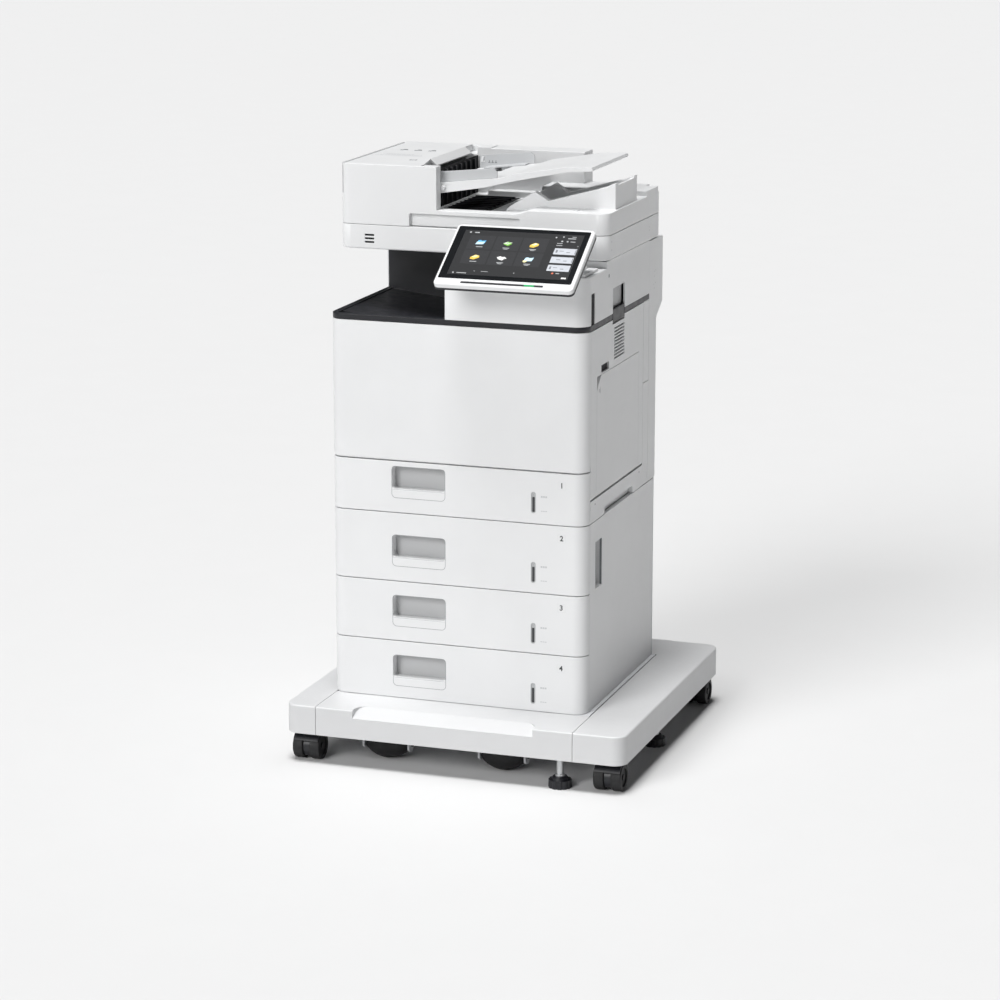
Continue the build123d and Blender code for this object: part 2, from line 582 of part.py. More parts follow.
# ---- rear cover, wrapped round the back, the left of the exit housing and behind the right-hand door ----
side_strip_front = right_door_rear + 0.8
side_strip_joint_z = 659.0
side_strip_slit = ((164.5, 166.5), (472.0, 483.0))
groove_depth = 0.8
rear_profile = [(side_rear + 0.4, engine_floor + 0.6), (219.5, engine_floor + 0.6), (219.5, 771),
                (259.5, 796), (259.5, 918), (255.5, 922), (side_rear + 0.4, 922)]
rear_hollow = [(160, engine_floor), (216.5, engine_floor), (216.5, 772.5),
               (256.5, 797.5), (256.5, 919), (160, 919)]
with BuildPart() as main_rear_cover:
    prism_x((body_left, body_right), rear_profile)
    prism_x((body_left + skin, body_right - skin), rear_hollow, mode=Mode.SUBTRACT)
    bar((body_left, body_left + skin), (exit_rear_y + 0.2, side_rear + 1), (rim_top + 0.3, 922))
    bar((body_right - skin, body_right), (side_strip_front, side_rear + 1),
        (engine_floor + 0.6, door_top - 0.3))
    bar((body_right - groove_depth, body_right + 1), (side_rear - 0.4, side_rear + 0.4),
        (engine_floor, door_top), mode=Mode.SUBTRACT)
    bar((body_right - groove_depth, body_right + 1), (side_strip_front - 1, side_rear),
        (side_strip_joint_z - 0.4, side_strip_joint_z + 0.4), mode=Mode.SUBTRACT)
    bar((body_right - skin - 1, body_right + 1), *side_strip_slit, mode=Mode.SUBTRACT)
    bar((-237, -205), (214, 221), (479, 503), mode=Mode.SUBTRACT)
    bar((wall_left - 6, wall_right + 8), (150, wall_rear + 1), (915, 930), mode=Mode.SUBTRACT)
    for row in range(8):
        bar((40, 160), (255, 261), (815 + 11 * row, 820 + 11 * row), mode=Mode.SUBTRACT)
save(main_rear_cover.part, "main_rear_cover")

# ---- paper exit: black rim, sloping tray, back wall and slotted wall ----
bowl_x = (-258.0, -50.0)
bowl_y = (-200.0, 80.0)
slot_z = (866.0, 884.0)
with BuildPart() as exit_tray:
    front_rounded((body_left, body_right), (body_front, side_rear), (door_top, rim_top), body_corner)
    bar((column_left + 7, 206), (front_back + 2, side_rear + 1), (door_top - 1, rim_top + 1),
        mode=Mode.SUBTRACT)
    bar((wall_left - 2, 206), (exit_rear_y + 3, side_rear + 1), (door_top - 1, rim_top + 1),
        mode=Mode.SUBTRACT)
    bar((bowl_x[0] - 2, bowl_x[1] + 6), (inner_front + 3, bowl_y[1] + 3), (796, door_top + 1))
    prism_y(
        (inner_front + 6, bowl_y[1]),
        [(bowl_x[0], rim_top + 1), (bowl_x[0], rim_top - 1.5), (-70, 801), (bowl_x[1], 801),
        (bowl_x[1], rim_top + 1)],
        mode=Mode.SUBTRACT,
    )
    bar((bowl_x[0], bowl_x[1]), (bowl_y[0], inner_front + 7), (rim_top - 5, rim_top + 1), mode=Mode.SUBTRACT)
    bar((body_left + skin + 0.5, bowl_x[1] + 3), (bowl_y[1], exit_rear_y), (rim_top - 1, scan_bottom - 0.5))
    bar((bowl_x[1], column_left), (-196, exit_rear_y), (rim_top - 1, column_top - 5))
    bar((bowl_x[1], column_left), (-94, exit_rear_y), (rim_top - 1, scan_bottom - 0.5))
    bar((bowl_x[1] - 1, column_left + 1), (-150, 60), slot_z, mode=Mode.SUBTRACT)
    bar((212.5, body_right + 1), (latch_y[0] - 2, latch_y[1] + 2), (door_top - 1, rim_top + 1),
        mode=Mode.SUBTRACT)
save(exit_tray.part, "exit_tray")

# ---- upper right cover that carries the panel ----
with BuildPart() as column_cover:
    front_rounded((column_left, body_right), (body_front, side_rear), (rim_top + 0.3, upper_cover_top),
                  body_corner, left=False)
    bar((column_left - 1, body_right + 1), (body_front - 1, step_y), (column_top, upper_cover_top + 1),
        mode=Mode.SUBTRACT)
    front_rounded((column_left + skin, body_right - skin), (body_front + skin, step_y + skin),
                  (rim_top - 1, column_top - skin), body_corner - skin, mode=Mode.SUBTRACT, left=False)
    bar((column_left + skin, body_right - skin), (step_y + skin, side_rear + 1), (rim_top - 1, 930),
        mode=Mode.SUBTRACT)
    bar((column_left - 1, column_left + 4), (-150, 60), slot_z, mode=Mode.SUBTRACT)
    bar((body_right - 4, body_right + 1), (-191.5, -170), (rim_top - 1, 880), mode=Mode.SUBTRACT)
    bar((body_right - 4, body_right + 1), (latch_y[0] - 1, latch_y[1] + 1), (rim_top - 1, 870),
        mode=Mode.SUBTRACT)
    ledge_edge = column_cover.faces().filter_by(lambda f: abs(f.center().Z - column_top) < 0.1).edges()
    fillet(ledge_edge.filter_by(Axis.X).sort_by(Axis.Y)[0], 2)
save(column_cover.part, "column_cover")

# ---- print engine pieces ----
with BuildPart() as toner_drum_cartridge:
    bar(cartridge_x, (-180, 195), cartridge_z)
    fillet(toner_drum_cartridge.edges().filter_by(Axis.Y), 8)
    bar((cartridge_x[0] + 40, cartridge_x[1] - 40), (-186.5, -176), (660, 700))
    bar((cartridge_x[0] + 48, cartridge_x[1] - 48), (-190, -181), (668, 684), mode=Mode.SUBTRACT)
    rod_y(cartridge_x[1] + 4, (-160, 180), 655, 15)
save(toner_drum_cartridge.part, "toner_drum_cartridge")

with BuildPart() as fuser_unit:
    bar(fuser_x, (-155, 155), fuser_z)
    bar((fuser_x[0] + 26, fuser_x[1] - 26), (-150, 150), (fuser_z[0] - 1, fuser_z[1] + 1), mode=Mode.SUBTRACT)
    for roller_x in (137.5, 162.5):
        rod_y(roller_x, (-152, 152), middle(fuser_z), 12.3)
save(fuser_unit.part, "fuser_unit")

# ---- flatbed scanner ----
glass_x, glass_y = (-236.0, 196.0), (-92.0, 206.0)
strip_x = (-276.0, -250.0)
glass_z = (967.5, scan_top)
lid_pivot = (237.0, 968.0)
lid_pin_radius = 3.0
ear_pairs = ((-215.0, -175.0), (120.0, 160.0))
rail_y, rail_z = 60.0, 940.0
rail_radius = 4.0
with BuildPart() as scanner_housing:
    all_rounded((scan_left, scan_right), (scan_front, scan_rear), (scan_bottom, scan_top), scan_corner)
    fillet(scanner_housing.faces().sort_by(Axis.Z)[0].edges(), 3)
    all_rounded((scan_left + skin, scan_right - skin), (scan_front + skin, scan_rear - skin),
                (scan_bottom + skin, glass_z[0] - skin), scan_corner - skin, mode=Mode.SUBTRACT)
    for window in (glass_x, strip_x):
        bar(window, glass_y, (glass_z[0], scan_top + 1), mode=Mode.SUBTRACT)
        bar((window[0] + 4, window[1] - 4), (glass_y[0] + 4, glass_y[1] - 4), (glass_z[0] - 5, scan_top),
            mode=Mode.SUBTRACT)
    rod_x((scan_left + 2, scan_right - 2), rail_y, rail_z, rail_radius)
    for row in range(3):
        bar((-240, -222), (scan_front - 1, scan_front + 2), (937.5 + 6.5 * row, 941 + 6.5 * row),
            mode=Mode.SUBTRACT)
    for pair in ear_pairs:
        for ear_x in ((pair[0], pair[0] + 10), (pair[1] - 10, pair[1])):
            bar(ear_x, (scan_rear - 1, 244), (938, lid_pivot[1]))
            rod_x(ear_x, lid_pivot[0], lid_pivot[1], 7)
        rod_x((pair[0] + 9, pair[1] - 9), lid_pivot[0], lid_pivot[1], lid_pin_radius)
save(scanner_housing.part, "scanner_housing")

with BuildPart() as platen_glass:
    bar(glass_x, glass_y, glass_z)
    bar(strip_x, glass_y, glass_z)
save(platen_glass.part, "platen_glass")

with BuildPart() as scan_carriage:
    bar((-270, -228), (-100, 210), (931, 958))
    bar((-262, -236), (-96, 206), (950, 959), mode=Mode.SUBTRACT)
    rod_x((-280, -220), rail_y, rail_z, rail_radius + fit, mode=Mode.SUBTRACT)
save(scan_carriage.part, "scan_carriage")

# ---- document feeder, which is also the lid of the flatbed ----
feeder_right = -100.5
opening_x = -137.5
cover_right = -150.5
front_wall_rear = -88.0
rear_wall_front = 191.5
rear_wall_right = 84.5
cover_pivot = (-278.5, 1076.0)
shaft = (-96.0, 1042.0)
shaft_radius = 4.0
ridge_y = ((-50.0, -34.0), (66.0, 84.0))
ridge_profile = [(10, 1000), (20, 1009), (66.5, 1037), (92.5, 1021), (201.5, 1051), (211.5, 1056),
                 (219.5, 1058), (219.5, 1000)]
ramp_profile = [(10, 996), (40, 1003), (92.5, 1010), (201.5, 1042), (211.5, 1052), (219.5, 1054),
    (219.5, 996)]
handle_x = (-153.5, 58.5)
with BuildPart() as adf_base:
    all_rounded((scan_left, scan_right), (scan_front, scan_rear), (lid_bottom, rim_low), scan_corner)
    prism_y((scan_front, scan_rear), [(40, rim_low - 3), (47.5, rim_low), (60, rim_low + 3), (74.5, rim_high),
                                      (scan_right, rim_high), (scan_right, rim_low - 3)])
    all_rounded((-320, scan_right), (scan_front, scan_rear), (lid_bottom - 1, rim_high + 1), scan_corner,
                mode=Mode.INTERSECT)
    all_rounded((scan_left, -60), (scan_front, scan_rear), (lid_bottom, feeder_top), scan_corner)
    bar((feeder_right, 10), (scan_front - 1, scan_rear + 1), (rim_low, feeder_top + 1), mode=Mode.SUBTRACT)
    bar((scan_left + 4.5, feeder_right + 1), (-104, rear_wall_front), (1026, feeder_top + 1),
        mode=Mode.SUBTRACT)
    bar((opening_x, feeder_right + 1), (front_wall_rear, rear_wall_front), (rim_low - 8, 1027),
        mode=Mode.SUBTRACT)
    bar((opening_x - 60, opening_x + 1), (-70, 150), (rim_low - 8, 1018), mode=Mode.SUBTRACT)
    bar((-130, feeder_right), (-104.5, front_wall_rear), (rim_low - 1, feeder_top))
    bar((-230, rear_wall_right), (rear_wall_front, scan_rear), (rim_low - 1, feeder_top - 2))
    bar((scan_left + 4.5, cover_right + 22), (rear_wall_front - 1, 230), (1068.5, feeder_top + 1),
        mode=Mode.SUBTRACT)
    bar((scan_left + 12, rear_wall_right), (scan_rear - 2, feeder_rear), (992, feeder_top - 2))
    bar((-125, 20), (-80, 170), (rim_low - 12, rim_low + 1), mode=Mode.SUBTRACT)
    for ridge in ridge_y:
        prism_y(ridge, ridge_profile)
    prism_y((ridge_y[0][0], ridge_y[1][1]), ramp_profile)
    bar((150, scan_right), (132.5, scan_rear - 24), (rim_high - 2, rim_high + 10))
    bar((20, scan_right - 24), (132.5, scan_rear), (rim_high - 2, rim_high + 10))
    with BuildSketch(Plane.XZ.offset(-(scan_front + 9))):
        with Locations((middle(handle_x), 982)):
            RectangleRounded(span(handle_x), 27, 4)
    extrude(amount=12, mode=Mode.SUBTRACT)
    bar((scan_left, scan_right), (scan_front - 1, scan_front + 10), (960, lid_bottom), mode=Mode.SUBTRACT)
    rod_y(shaft[0], (front_wall_rear - 5, front_wall_rear + 1), shaft[1], shaft_radius + fit,
        mode=Mode.SUBTRACT)
    rod_y(shaft[0], (rear_wall_front - 1, rear_wall_front + 6.5), shaft[1], shaft_radius + fit,
        mode=Mode.SUBTRACT)
    for pair in ear_pairs:
        lug_x = (pair[0] + 10.5, pair[1] - 10.5)
        bar(lug_x, (scan_rear - 1, lid_pivot[0]), (lid_bottom, lid_pivot[1] + 7))
        rod_x(lug_x, lid_pivot[0], lid_pivot[1], 7)
        rod_x((lug_x[0] - 1, lug_x[1] + 1), lid_pivot[0], lid_pivot[1], lid_pin_radius + fit,
            mode=Mode.SUBTRACT)
        rod_x((pair[0] - 0.5, lug_x[0]), lid_pivot[0], lid_pivot[1], 7.6, mode=Mode.SUBTRACT)
        rod_x((lug_x[1], pair[1] + 0.5), lid_pivot[0], lid_pivot[1], 7.6, mode=Mode.SUBTRACT)
    for pin_y in ((-104.5, -97), (222, 230)):
        rod_y(cover_pivot[0], pin_y, cover_pivot[1], 2.5)
save(adf_base.part, "adf_base")

cover_rear = 227.2
cover_outline = [(cover_pivot[0], -103.4), (-133.5, -103.4), (-133.5, -86), (cover_right, -4.5),
                 (cover_right, cover_rear), (cover_pivot[0], cover_rear)]
with BuildPart() as adf_feeder_cover:
    with BuildSketch(Plane.XY.offset(1070)):
        with BuildLine():
            Polyline(*cover_outline, close=True)
        make_face()
    extrude(amount=feeder_top - 1070)
    rod_y(cover_pivot[0], (-103.4, cover_rear), cover_pivot[1], 6)
    prism_y((-4.5, 186), [(cover_right - 1, feeder_top), (cover_right, feeder_top), (opening_x, 1071),
                          (opening_x, 1068.8), (cover_right - 1, 1068.8)])
    for pin_y in ((-104, -96.5), (221.5, 230)):
        rod_y(cover_pivot[0], pin_y, cover_pivot[1], 2.5 + fit, mode=Mode.SUBTRACT)
    for rib_y in (-60, 0, 60, 120):
        bar((-250, -160), (rib_y - 1.5, rib_y + 1.5), (1052, 1071))
save(adf_feeder_cover.part, "adf_feeder_cover")

# ---- original tray and its two guides ----
tray_y = (-86.5, 135.5)
tray_profile = [(-104.5, 1031), (-18.5, 1045), (33.5, 1058), (139.5, 1080), (185.5, 1083), (187.5, 1086),
                (185.5, 1090), (139.5, 1089), (39.5, 1072), (15.5, 1064), (-104.5, 1050)]
slot_x = (-84.0, -10.0)
sheet_width = 210.0
guide_gap = sheet_width + 1.0
guide_centre = 28.5
guide_thickness = 3.5
guide_foot = 25.5
with BuildPart() as adf_input_tray:
    prism_y(tray_y, tray_profile)
    rod_y(shaft[0], (front_wall_rear - 4.5, rear_wall_front + 6), shaft[1], shaft_radius)
    for guide_y in ((-79, 10), (42, 131)):
        bar((slot_x[0] + 20, slot_x[1] - 20), guide_y, (1048, 1070), mode=Mode.SUBTRACT)
save(adf_input_tray.part, "adf_input_tray")

guide_slope = (1064 - 1050) / 120


def tray_height(x):
    """Height of the original tray's feed stretch above the floor."""
    return 1050 + (x + 104.5) * guide_slope


def paper_guide(y_plate, foot_y, left, right, rise):
    """Upright paper guide on a foot that hugs the sloping tray."""
    with BuildPart() as guide:
        prism_y(y_plate, [(left, tray_height(left) + 0.5), (right, tray_height(right) + 0.5),
                          (right, tray_height(right) + rise - 7), (right - 7, tray_height(right - 7) + rise),
                          (left, tray_height(left) + rise + 2)])
        prism_y(foot_y, [(left + 16, tray_height(left + 16) + 0.4),
            (right - 10, tray_height(right - 10) + 0.4),
                         (right - 10, tray_height(right - 10) + 2.4),
                         (left + 16, tray_height(left + 16) + 2.4)])
        bar((slot_x[0] + 30, slot_x[1] - 30), (middle(foot_y) - 6, middle(foot_y) + 6),
            (1049.5, tray_height(slot_x[0] + 30) + 1))
    return guide.part


guide_left, guide_right = -103.0, 5.0
front_inner = guide_centre - guide_gap / 2
rear_inner = guide_centre + guide_gap / 2
save(paper_guide((front_inner - guide_thickness, front_inner),
    (front_inner - guide_thickness, front_inner + guide_foot),
                 guide_left, guide_right, 18), "adf_guide_front")
save(paper_guide((rear_inner, rear_inner + guide_thickness),
    (rear_inner - guide_foot, rear_inner + guide_thickness),
                 guide_left, guide_right, 22), "adf_guide_rear")

# ---- tilting control panel ----
tilt = 32.0
panel_x = (-36.0, 221.5)
glass_panel_x = (-31.4, 214.7)
glass_low = (-296.5, 913.6)
glass_length = 140.8
border_low, border_high = 17.0, 6.0
panel_thickness = 13.0
panel_plane = Plane(origin=(0, *glass_low), x_dir=(1, 0, 0), z_dir=Vector(0, 0, 1).rotate(Axis.X, tilt))
panel_pivot = (-190.0, 940.0)
panel_pin_radius = 3.0
panel_ears = (60.0, 195.0)
panel_length = border_low + glass_length + border_high
with BuildPart() as panel_housing:
    with BuildSketch(panel_plane.offset(-panel_thickness)):
        with Locations((middle(panel_x), (glass_length + border_high - border_low) / 2)):
            RectangleRounded(span(panel_x), panel_length, 9)
    extrude(amount=panel_thickness)
    fillet(panel_housing.edges().filter_by(lambda e: e.geom_type != GeomType.LINE
                                           or abs(e.tangent_at(0).X) > 0.99
                                           or abs(e.tangent_at(0).Z) < 0.6), 2.5)
    with BuildSketch(panel_plane.offset(-2)):
        with Locations((middle(glass_panel_x), glass_length / 2)):
            RectangleRounded(span(glass_panel_x), glass_length, 3)
    extrude(amount=3, mode=Mode.SUBTRACT)
    for ear_x in panel_ears:
        with BuildSketch(Plane.YZ.offset(ear_x - 16)):
            with BuildLine():
                Polyline((-207, 946), (-190, 932), (-178, 938), (-176, 978), (-206, 959), close=True)
            make_face()
        extrude(amount=10)
        rod_x((ear_x - 17, ear_x - 5), panel_pivot[0], panel_pivot[1], panel_pin_radius + fit,
            mode=Mode.SUBTRACT)
save(panel_housing.part, "panel_housing")

with BuildPart() as touch_screen:
    with BuildSketch(panel_plane.offset(-1.9)):
        with Locations((middle(glass_panel_x), glass_length / 2)):
            RectangleRounded(span(glass_panel_x) - 0.4, glass_length - 0.4, 2.8)
    extrude(amount=2.0)
save(touch_screen.part, "touch_screen")

with BuildPart() as panel_arm:
    bar((38, 212), (-206, -130), (column_top + 0.1, column_top + 5))
    for ear_x in panel_ears:
        for offset in (-22, -5):
            with BuildSketch(Plane.YZ.offset(ear_x + offset)):
                with BuildLine():
                    Polyline((-204, column_top + 4), (-134, column_top + 4), (-180, 947), (-186, 950),
                             (-198, 946), close=True)
                make_face()
            extrude(amount=5)
        rod_x((ear_x - 20, ear_x - 2), panel_pivot[0], panel_pivot[1], panel_pin_radius)
save(panel_arm.part, "panel_arm")
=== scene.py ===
import collections
import json
import math

import bmesh
import bpy
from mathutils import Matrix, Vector


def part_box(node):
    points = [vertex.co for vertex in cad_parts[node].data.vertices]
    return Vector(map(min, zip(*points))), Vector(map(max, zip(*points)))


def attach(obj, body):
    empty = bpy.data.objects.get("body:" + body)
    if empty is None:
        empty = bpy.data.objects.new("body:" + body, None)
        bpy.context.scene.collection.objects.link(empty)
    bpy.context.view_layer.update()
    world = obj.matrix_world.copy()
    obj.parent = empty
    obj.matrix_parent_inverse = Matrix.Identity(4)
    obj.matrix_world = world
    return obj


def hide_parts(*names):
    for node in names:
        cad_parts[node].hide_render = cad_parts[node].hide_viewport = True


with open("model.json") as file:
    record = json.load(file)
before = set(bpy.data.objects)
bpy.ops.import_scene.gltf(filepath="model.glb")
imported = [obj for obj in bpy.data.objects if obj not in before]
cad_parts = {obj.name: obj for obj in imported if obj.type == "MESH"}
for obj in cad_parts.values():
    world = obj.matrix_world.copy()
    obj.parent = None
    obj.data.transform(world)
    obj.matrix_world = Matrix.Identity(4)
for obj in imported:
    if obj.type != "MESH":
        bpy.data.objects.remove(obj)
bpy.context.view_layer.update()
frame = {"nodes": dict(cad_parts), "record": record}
cad_nodes = frame["nodes"]
body_of_node = {node: body for body, members in frame["record"]["behaviour"]["bodies"].items()
                for node in members}
slot_of_node = {part["node"]: part["material_slot"] for part in frame["record"]["subparts"]}

MM = 0.001
X, Y, Z = 0, 1, 2
RIGHT, BACK, UP = Vector((1, 0, 0)), Vector((0, 1, 0)), Vector((0, 0, 1))
DRAWERS = (1, 2, 3, 4)


# ---- materials ----

NOISE_LOW, NOISE_HIGH = 0.3, 0.7
DRIFT_SCALE, GLOSS_SCALE = 7.0, 55.0
PLASTIC_IOR, GLASS_IOR, SCREEN_IOR = 1.47, 1.52, 1.5
DIMMEST = 0.86


def shader(name, **inputs):
    """A new material with its Principled shader's uniform values set on its own sockets."""
    material = bpy.data.materials.new(name)
    material.use_nodes = True
    surface = material.node_tree.nodes["Principled BSDF"]
    for socket, value in inputs.items():
        surface.inputs[socket.replace("_", " ")].default_value = value
    return material, surface


def noise(material, scale, detail=3.0, stretch=(1, 1, 1)):
    """Noise in metres, in the object's own coordinates."""
    tree = material.node_tree
    place = tree.nodes.new("ShaderNodeTexCoord")
    mapping = tree.nodes.new("ShaderNodeMapping")
    mapping.inputs["Scale"].default_value = stretch
    texture = tree.nodes.new("ShaderNodeTexNoise")
    texture.inputs["Scale"].default_value = scale
    texture.inputs["Detail"].default_value = detail
    tree.links.new(place.outputs["Object"], mapping.inputs["Vector"])
    tree.links.new(mapping.outputs["Vector"], texture.inputs["Vector"])
    return texture.outputs["Fac"]


def vary_colour(material, surface, source, dark, light):
    ramp = material.node_tree.nodes.new("ShaderNodeValToRGB")
    ramp.color_ramp.elements[0].position = NOISE_LOW
    ramp.color_ramp.elements[0].color = (*dark, 1)
    ramp.color_ramp.elements[1].position = NOISE_HIGH
    ramp.color_ramp.elements[1].color = (*light, 1)
    material.node_tree.links.new(source, ramp.inputs["Fac"])
    material.node_tree.links.new(ramp.outputs["Color"], surface.inputs["Base Color"])


def vary_roughness(material, surface, source, low, high):
    spread = material.node_tree.nodes.new("ShaderNodeMapRange")
    spread.inputs["From Min"].default_value = NOISE_LOW
    spread.inputs["From Max"].default_value = NOISE_HIGH
    spread.inputs["To Min"].default_value = low
    spread.inputs["To Max"].default_value = high
    material.node_tree.links.new(source, spread.inputs["Value"])
    material.node_tree.links.new(spread.outputs["Result"], surface.inputs["Roughness"])


def raise_grain(material, surface, source, height, strength):
    bump = material.node_tree.nodes.new("ShaderNodeBump")
    bump.inputs["Distance"].default_value = height
    bump.inputs["Strength"].default_value = strength
    material.node_tree.links.new(source, bump.inputs["Height"])
    material.node_tree.links.new(bump.outputs["Normal"], surface.inputs["Normal"])


def moulded(name, colour, spread=0.02, rough=(0.40, 0.50), grain=1500, depth=0.00006, strength=0.25):
    """Moulded plastic or rubber: spark-eroded grain, with slight drift in shade and gloss."""
    material, surface = shader(name, IOR=PLASTIC_IOR)
    darker = tuple(c * (1 - spread) for c in colour)
    lighter = tuple(min(1.0, c * (1 + spread)) for c in colour)
    vary_colour(material, surface, noise(material, DRIFT_SCALE), darker, lighter)
    vary_roughness(material, surface, noise(material, GLOSS_SCALE), *rough)
    raise_grain(material, surface, noise(material, grain, detail=4.0), depth, strength)
    return material


def zinc_plated(name):
    """Zinc-plated sheet steel with rolling marks along X."""
    material, surface = shader(name, Metallic=0.9)
    shade = noise(material, 12.0, detail=2.0)
    vary_colour(material, surface, shade, dark=(0.50, 0.51, 0.52), light=(0.56, 0.57, 0.58))
    streaks = noise(material, 220.0, detail=4.0, stretch=(0.05, 1, 1))
    vary_roughness(material, surface, streaks, low=0.28, high=0.42)
    rolling = noise(material, 700.0, detail=4.0, stretch=(0.04, 1, 1))
    raise_grain(material, surface, rolling, height=0.00003, strength=0.2)
    return material


def clear_glass(name):
    """Scanner glass, slightly green, with a trace of wear."""
    material, surface = shader(name, IOR=GLASS_IOR, Transmission_Weight=0.9)
    shade = noise(material, 4.0)
    vary_colour(material, surface, shade, dark=(0.74, 0.82, 0.80), light=(0.80, 0.87, 0.86))
    vary_roughness(material, surface, noise(material, 18.0), low=0.02, high=0.05)
    return material


def black_glass(name):
    """Cover glass of the touch screen: black, with a faint film of finger marks."""
    material, surface = shader(name, IOR=SCREEN_IOR, Coat_Weight=0.6, Coat_Roughness=0.04)
    shade = noise(material, 9.0)
    vary_colour(material, surface, shade, dark=(0.006, 0.007, 0.008), light=(0.012, 0.013, 0.015))
    vary_roughness(material, surface, noise(material, 60.0, detail=6.0), low=0.07, high=0.16)
    return material


def glowing(name, colour, power):
    """A lit patch of the display, a little uneven as a backlight is."""
    material, surface = shader(name, Emission_Strength=power, Roughness=0.3)
    ramp = material.node_tree.nodes.new("ShaderNodeValToRGB")
    ramp.color_ramp.elements[0].color = (*(c * DIMMEST for c in colour), 1)
    ramp.color_ramp.elements[1].color = (*colour, 1)
    material.node_tree.links.new(noise(material, 160.0, detail=1.0), ramp.inputs["Fac"])
    material.node_tree.links.new(ramp.outputs["Color"], surface.inputs["Base Color"])
    material.node_tree.links.new(ramp.outputs["Color"], surface.inputs["Emission Color"])
    return material


SLOTS = {
    "white_plastic": moulded("white_plastic", (0.765, 0.77, 0.775)),
    "grey_plastic": moulded("grey_plastic", (0.52, 0.53, 0.54), spread=0.03),
    "black_plastic": moulded("black_plastic", (0.0105, 0.0110, 0.0145), spread=0.10, rough=(0.36, 0.48),
                             grain=1100, depth=0.00008, strength=0.35),
    "black_rubber": moulded("black_rubber", (0.011, 0.011, 0.012), spread=0.15, rough=(0.55, 0.72),
                            grain=800, depth=0.0001, strength=0.4),
    "painted_steel": moulded("painted_steel", (0.66, 0.67, 0.69), spread=0.02, rough=(0.42, 0.55),
                             grain=900, depth=0.00005, strength=0.2),
    "zinc_steel": zinc_plated("zinc_steel"),
    "platen_glass": clear_glass("platen_glass"),
    "screen": black_glass("screen"),
}
PRINT_ROUGH = (0.5, 0.6)
# Dark grey for printed marks, and painted shade on the side grip, behind the louvres and at the hinge holes.
PRINT_AND_SHADE_GREY = moulded("print_and_shade_grey", (0.20, 0.21, 0.22), spread=0.05, rough=PRINT_ROUGH)
PALE_MARK = moulded("pale_mark", (0.55, 0.56, 0.57), spread=0.03, rough=PRINT_ROUGH)
# Mid grey: painted shade in the pull and latch recesses, and the gauge channel's own colour.
SHADE_AND_GAUGE_GREY = moulded("shade_and_gauge_grey", (0.47, 0.475, 0.48))
SEAM_GREY = moulded("seam_grey", (0.33, 0.34, 0.35), spread=0.04, rough=PRINT_ROUGH)
INK = moulded("printed_ink", (0.045, 0.047, 0.05), spread=0.05, rough=PRINT_ROUGH)
SHADOW = moulded("shadow_black", (0.010, 0.010, 0.012), spread=0.10, rough=(0.7, 0.85))
# Painted shade: the pedestal covers get a darker copy of the white plastic, for the light that falls off
# towards the bottom.
PEDESTAL_SHADED_WHITE = moulded("pedestal_painted_shade", (0.62, 0.624, 0.63))
BLACK = SLOTS["black_plastic"]
DISPLAY = {
    "ground": glowing("display_ground", (0.019, 0.0195, 0.021), 0.25),
    "cell": glowing("display_cell", (0.027, 0.0275, 0.030), 0.3),
    "text": glowing("display_text", (0.42, 0.43, 0.44), 0.3),
    "tile": glowing("display_tile", (0.52, 0.54, 0.58), 0.22),
    "tile_edge": glowing("display_tile_edge", (0.20, 0.21, 0.23), 0.2),
    "white": glowing("display_white", (0.88, 0.88, 0.86), 0.25),
    "pale_blue": glowing("display_pale_blue", (0.55, 0.78, 0.92), 0.3),
    "blue": glowing("display_blue", (0.09, 0.36, 0.66), 0.5),
    "green": glowing("display_green", (0.16, 0.42, 0.05), 0.45),
    "pale_green": glowing("display_pale_green", (0.62, 0.74, 0.56), 0.25),
    "yellow": glowing("display_yellow", (0.72, 0.48, 0.08), 0.35),
    "pale_yellow": glowing("display_pale_yellow", (0.90, 0.80, 0.42), 0.25),
    "red": glowing("display_red", (0.62, 0.16, 0.09), 0.4),
    "led": glowing("led_green", (0.02, 0.30, 0.10), 0.8),
}
PEDESTAL_COVERS = ("base_cover_left", "base_cover_right", "base_cover_front")

# The pedestal covers take the darker white of painted shade; every other node takes its slot's material.
for name, node in cad_nodes.items():
    node.data.materials.clear()
    node.data.materials.append(PEDESTAL_SHADED_WHITE if name in PEDESTAL_COVERS else SLOTS[slot_of_node[name]])


# ---- pieces ----

SHARP = math.radians(42)
COPLANAR = math.radians(0.6)
CURVED = 0.01
WELD = 0.01 * MM
LARGE_FACE = 150 * MM * MM
COVER_EDGE = 0.8 * MM
TRIM_EDGE = 0.4 * MM
COVERS = ["deck_left_cover", "deck_right_cover", "main_left_cover", "front_door", "right_door",
          "main_rear_cover", "scanner_housing", "adf_base", "panel_arm"]
COVERS += [f"cassette_{number}_front" for number in DRAWERS]
TRIMS = ["mp_tray", "right_latch", "exit_tray", "adf_feeder_cover", "adf_input_tray", "adf_guide_front",
         "adf_guide_rear"]


def declare(piece, body):
    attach(piece, body)
    return piece


def new_object(name, mesh, material):
    mesh.materials.append(material)
    piece = bpy.data.objects.new(name, mesh)
    bpy.context.scene.collection.objects.link(piece)
    return piece


def round_edges(piece, width):
    """Rounds the sharp edges, leaving the facets of curved faces as they are."""
    bevel = piece.modifiers.new("edges", "BEVEL")
    bevel.width = width
    bevel.segments = 2
    bevel.limit_method = "ANGLE"
    bevel.angle_limit = SHARP
    bevel.use_clamp_overlap = False
    facets = piece.modifiers.new("facets", "TRIANGULATE")
    facets.min_vertices = 5
    facets.ngon_method = "BEAUTY"


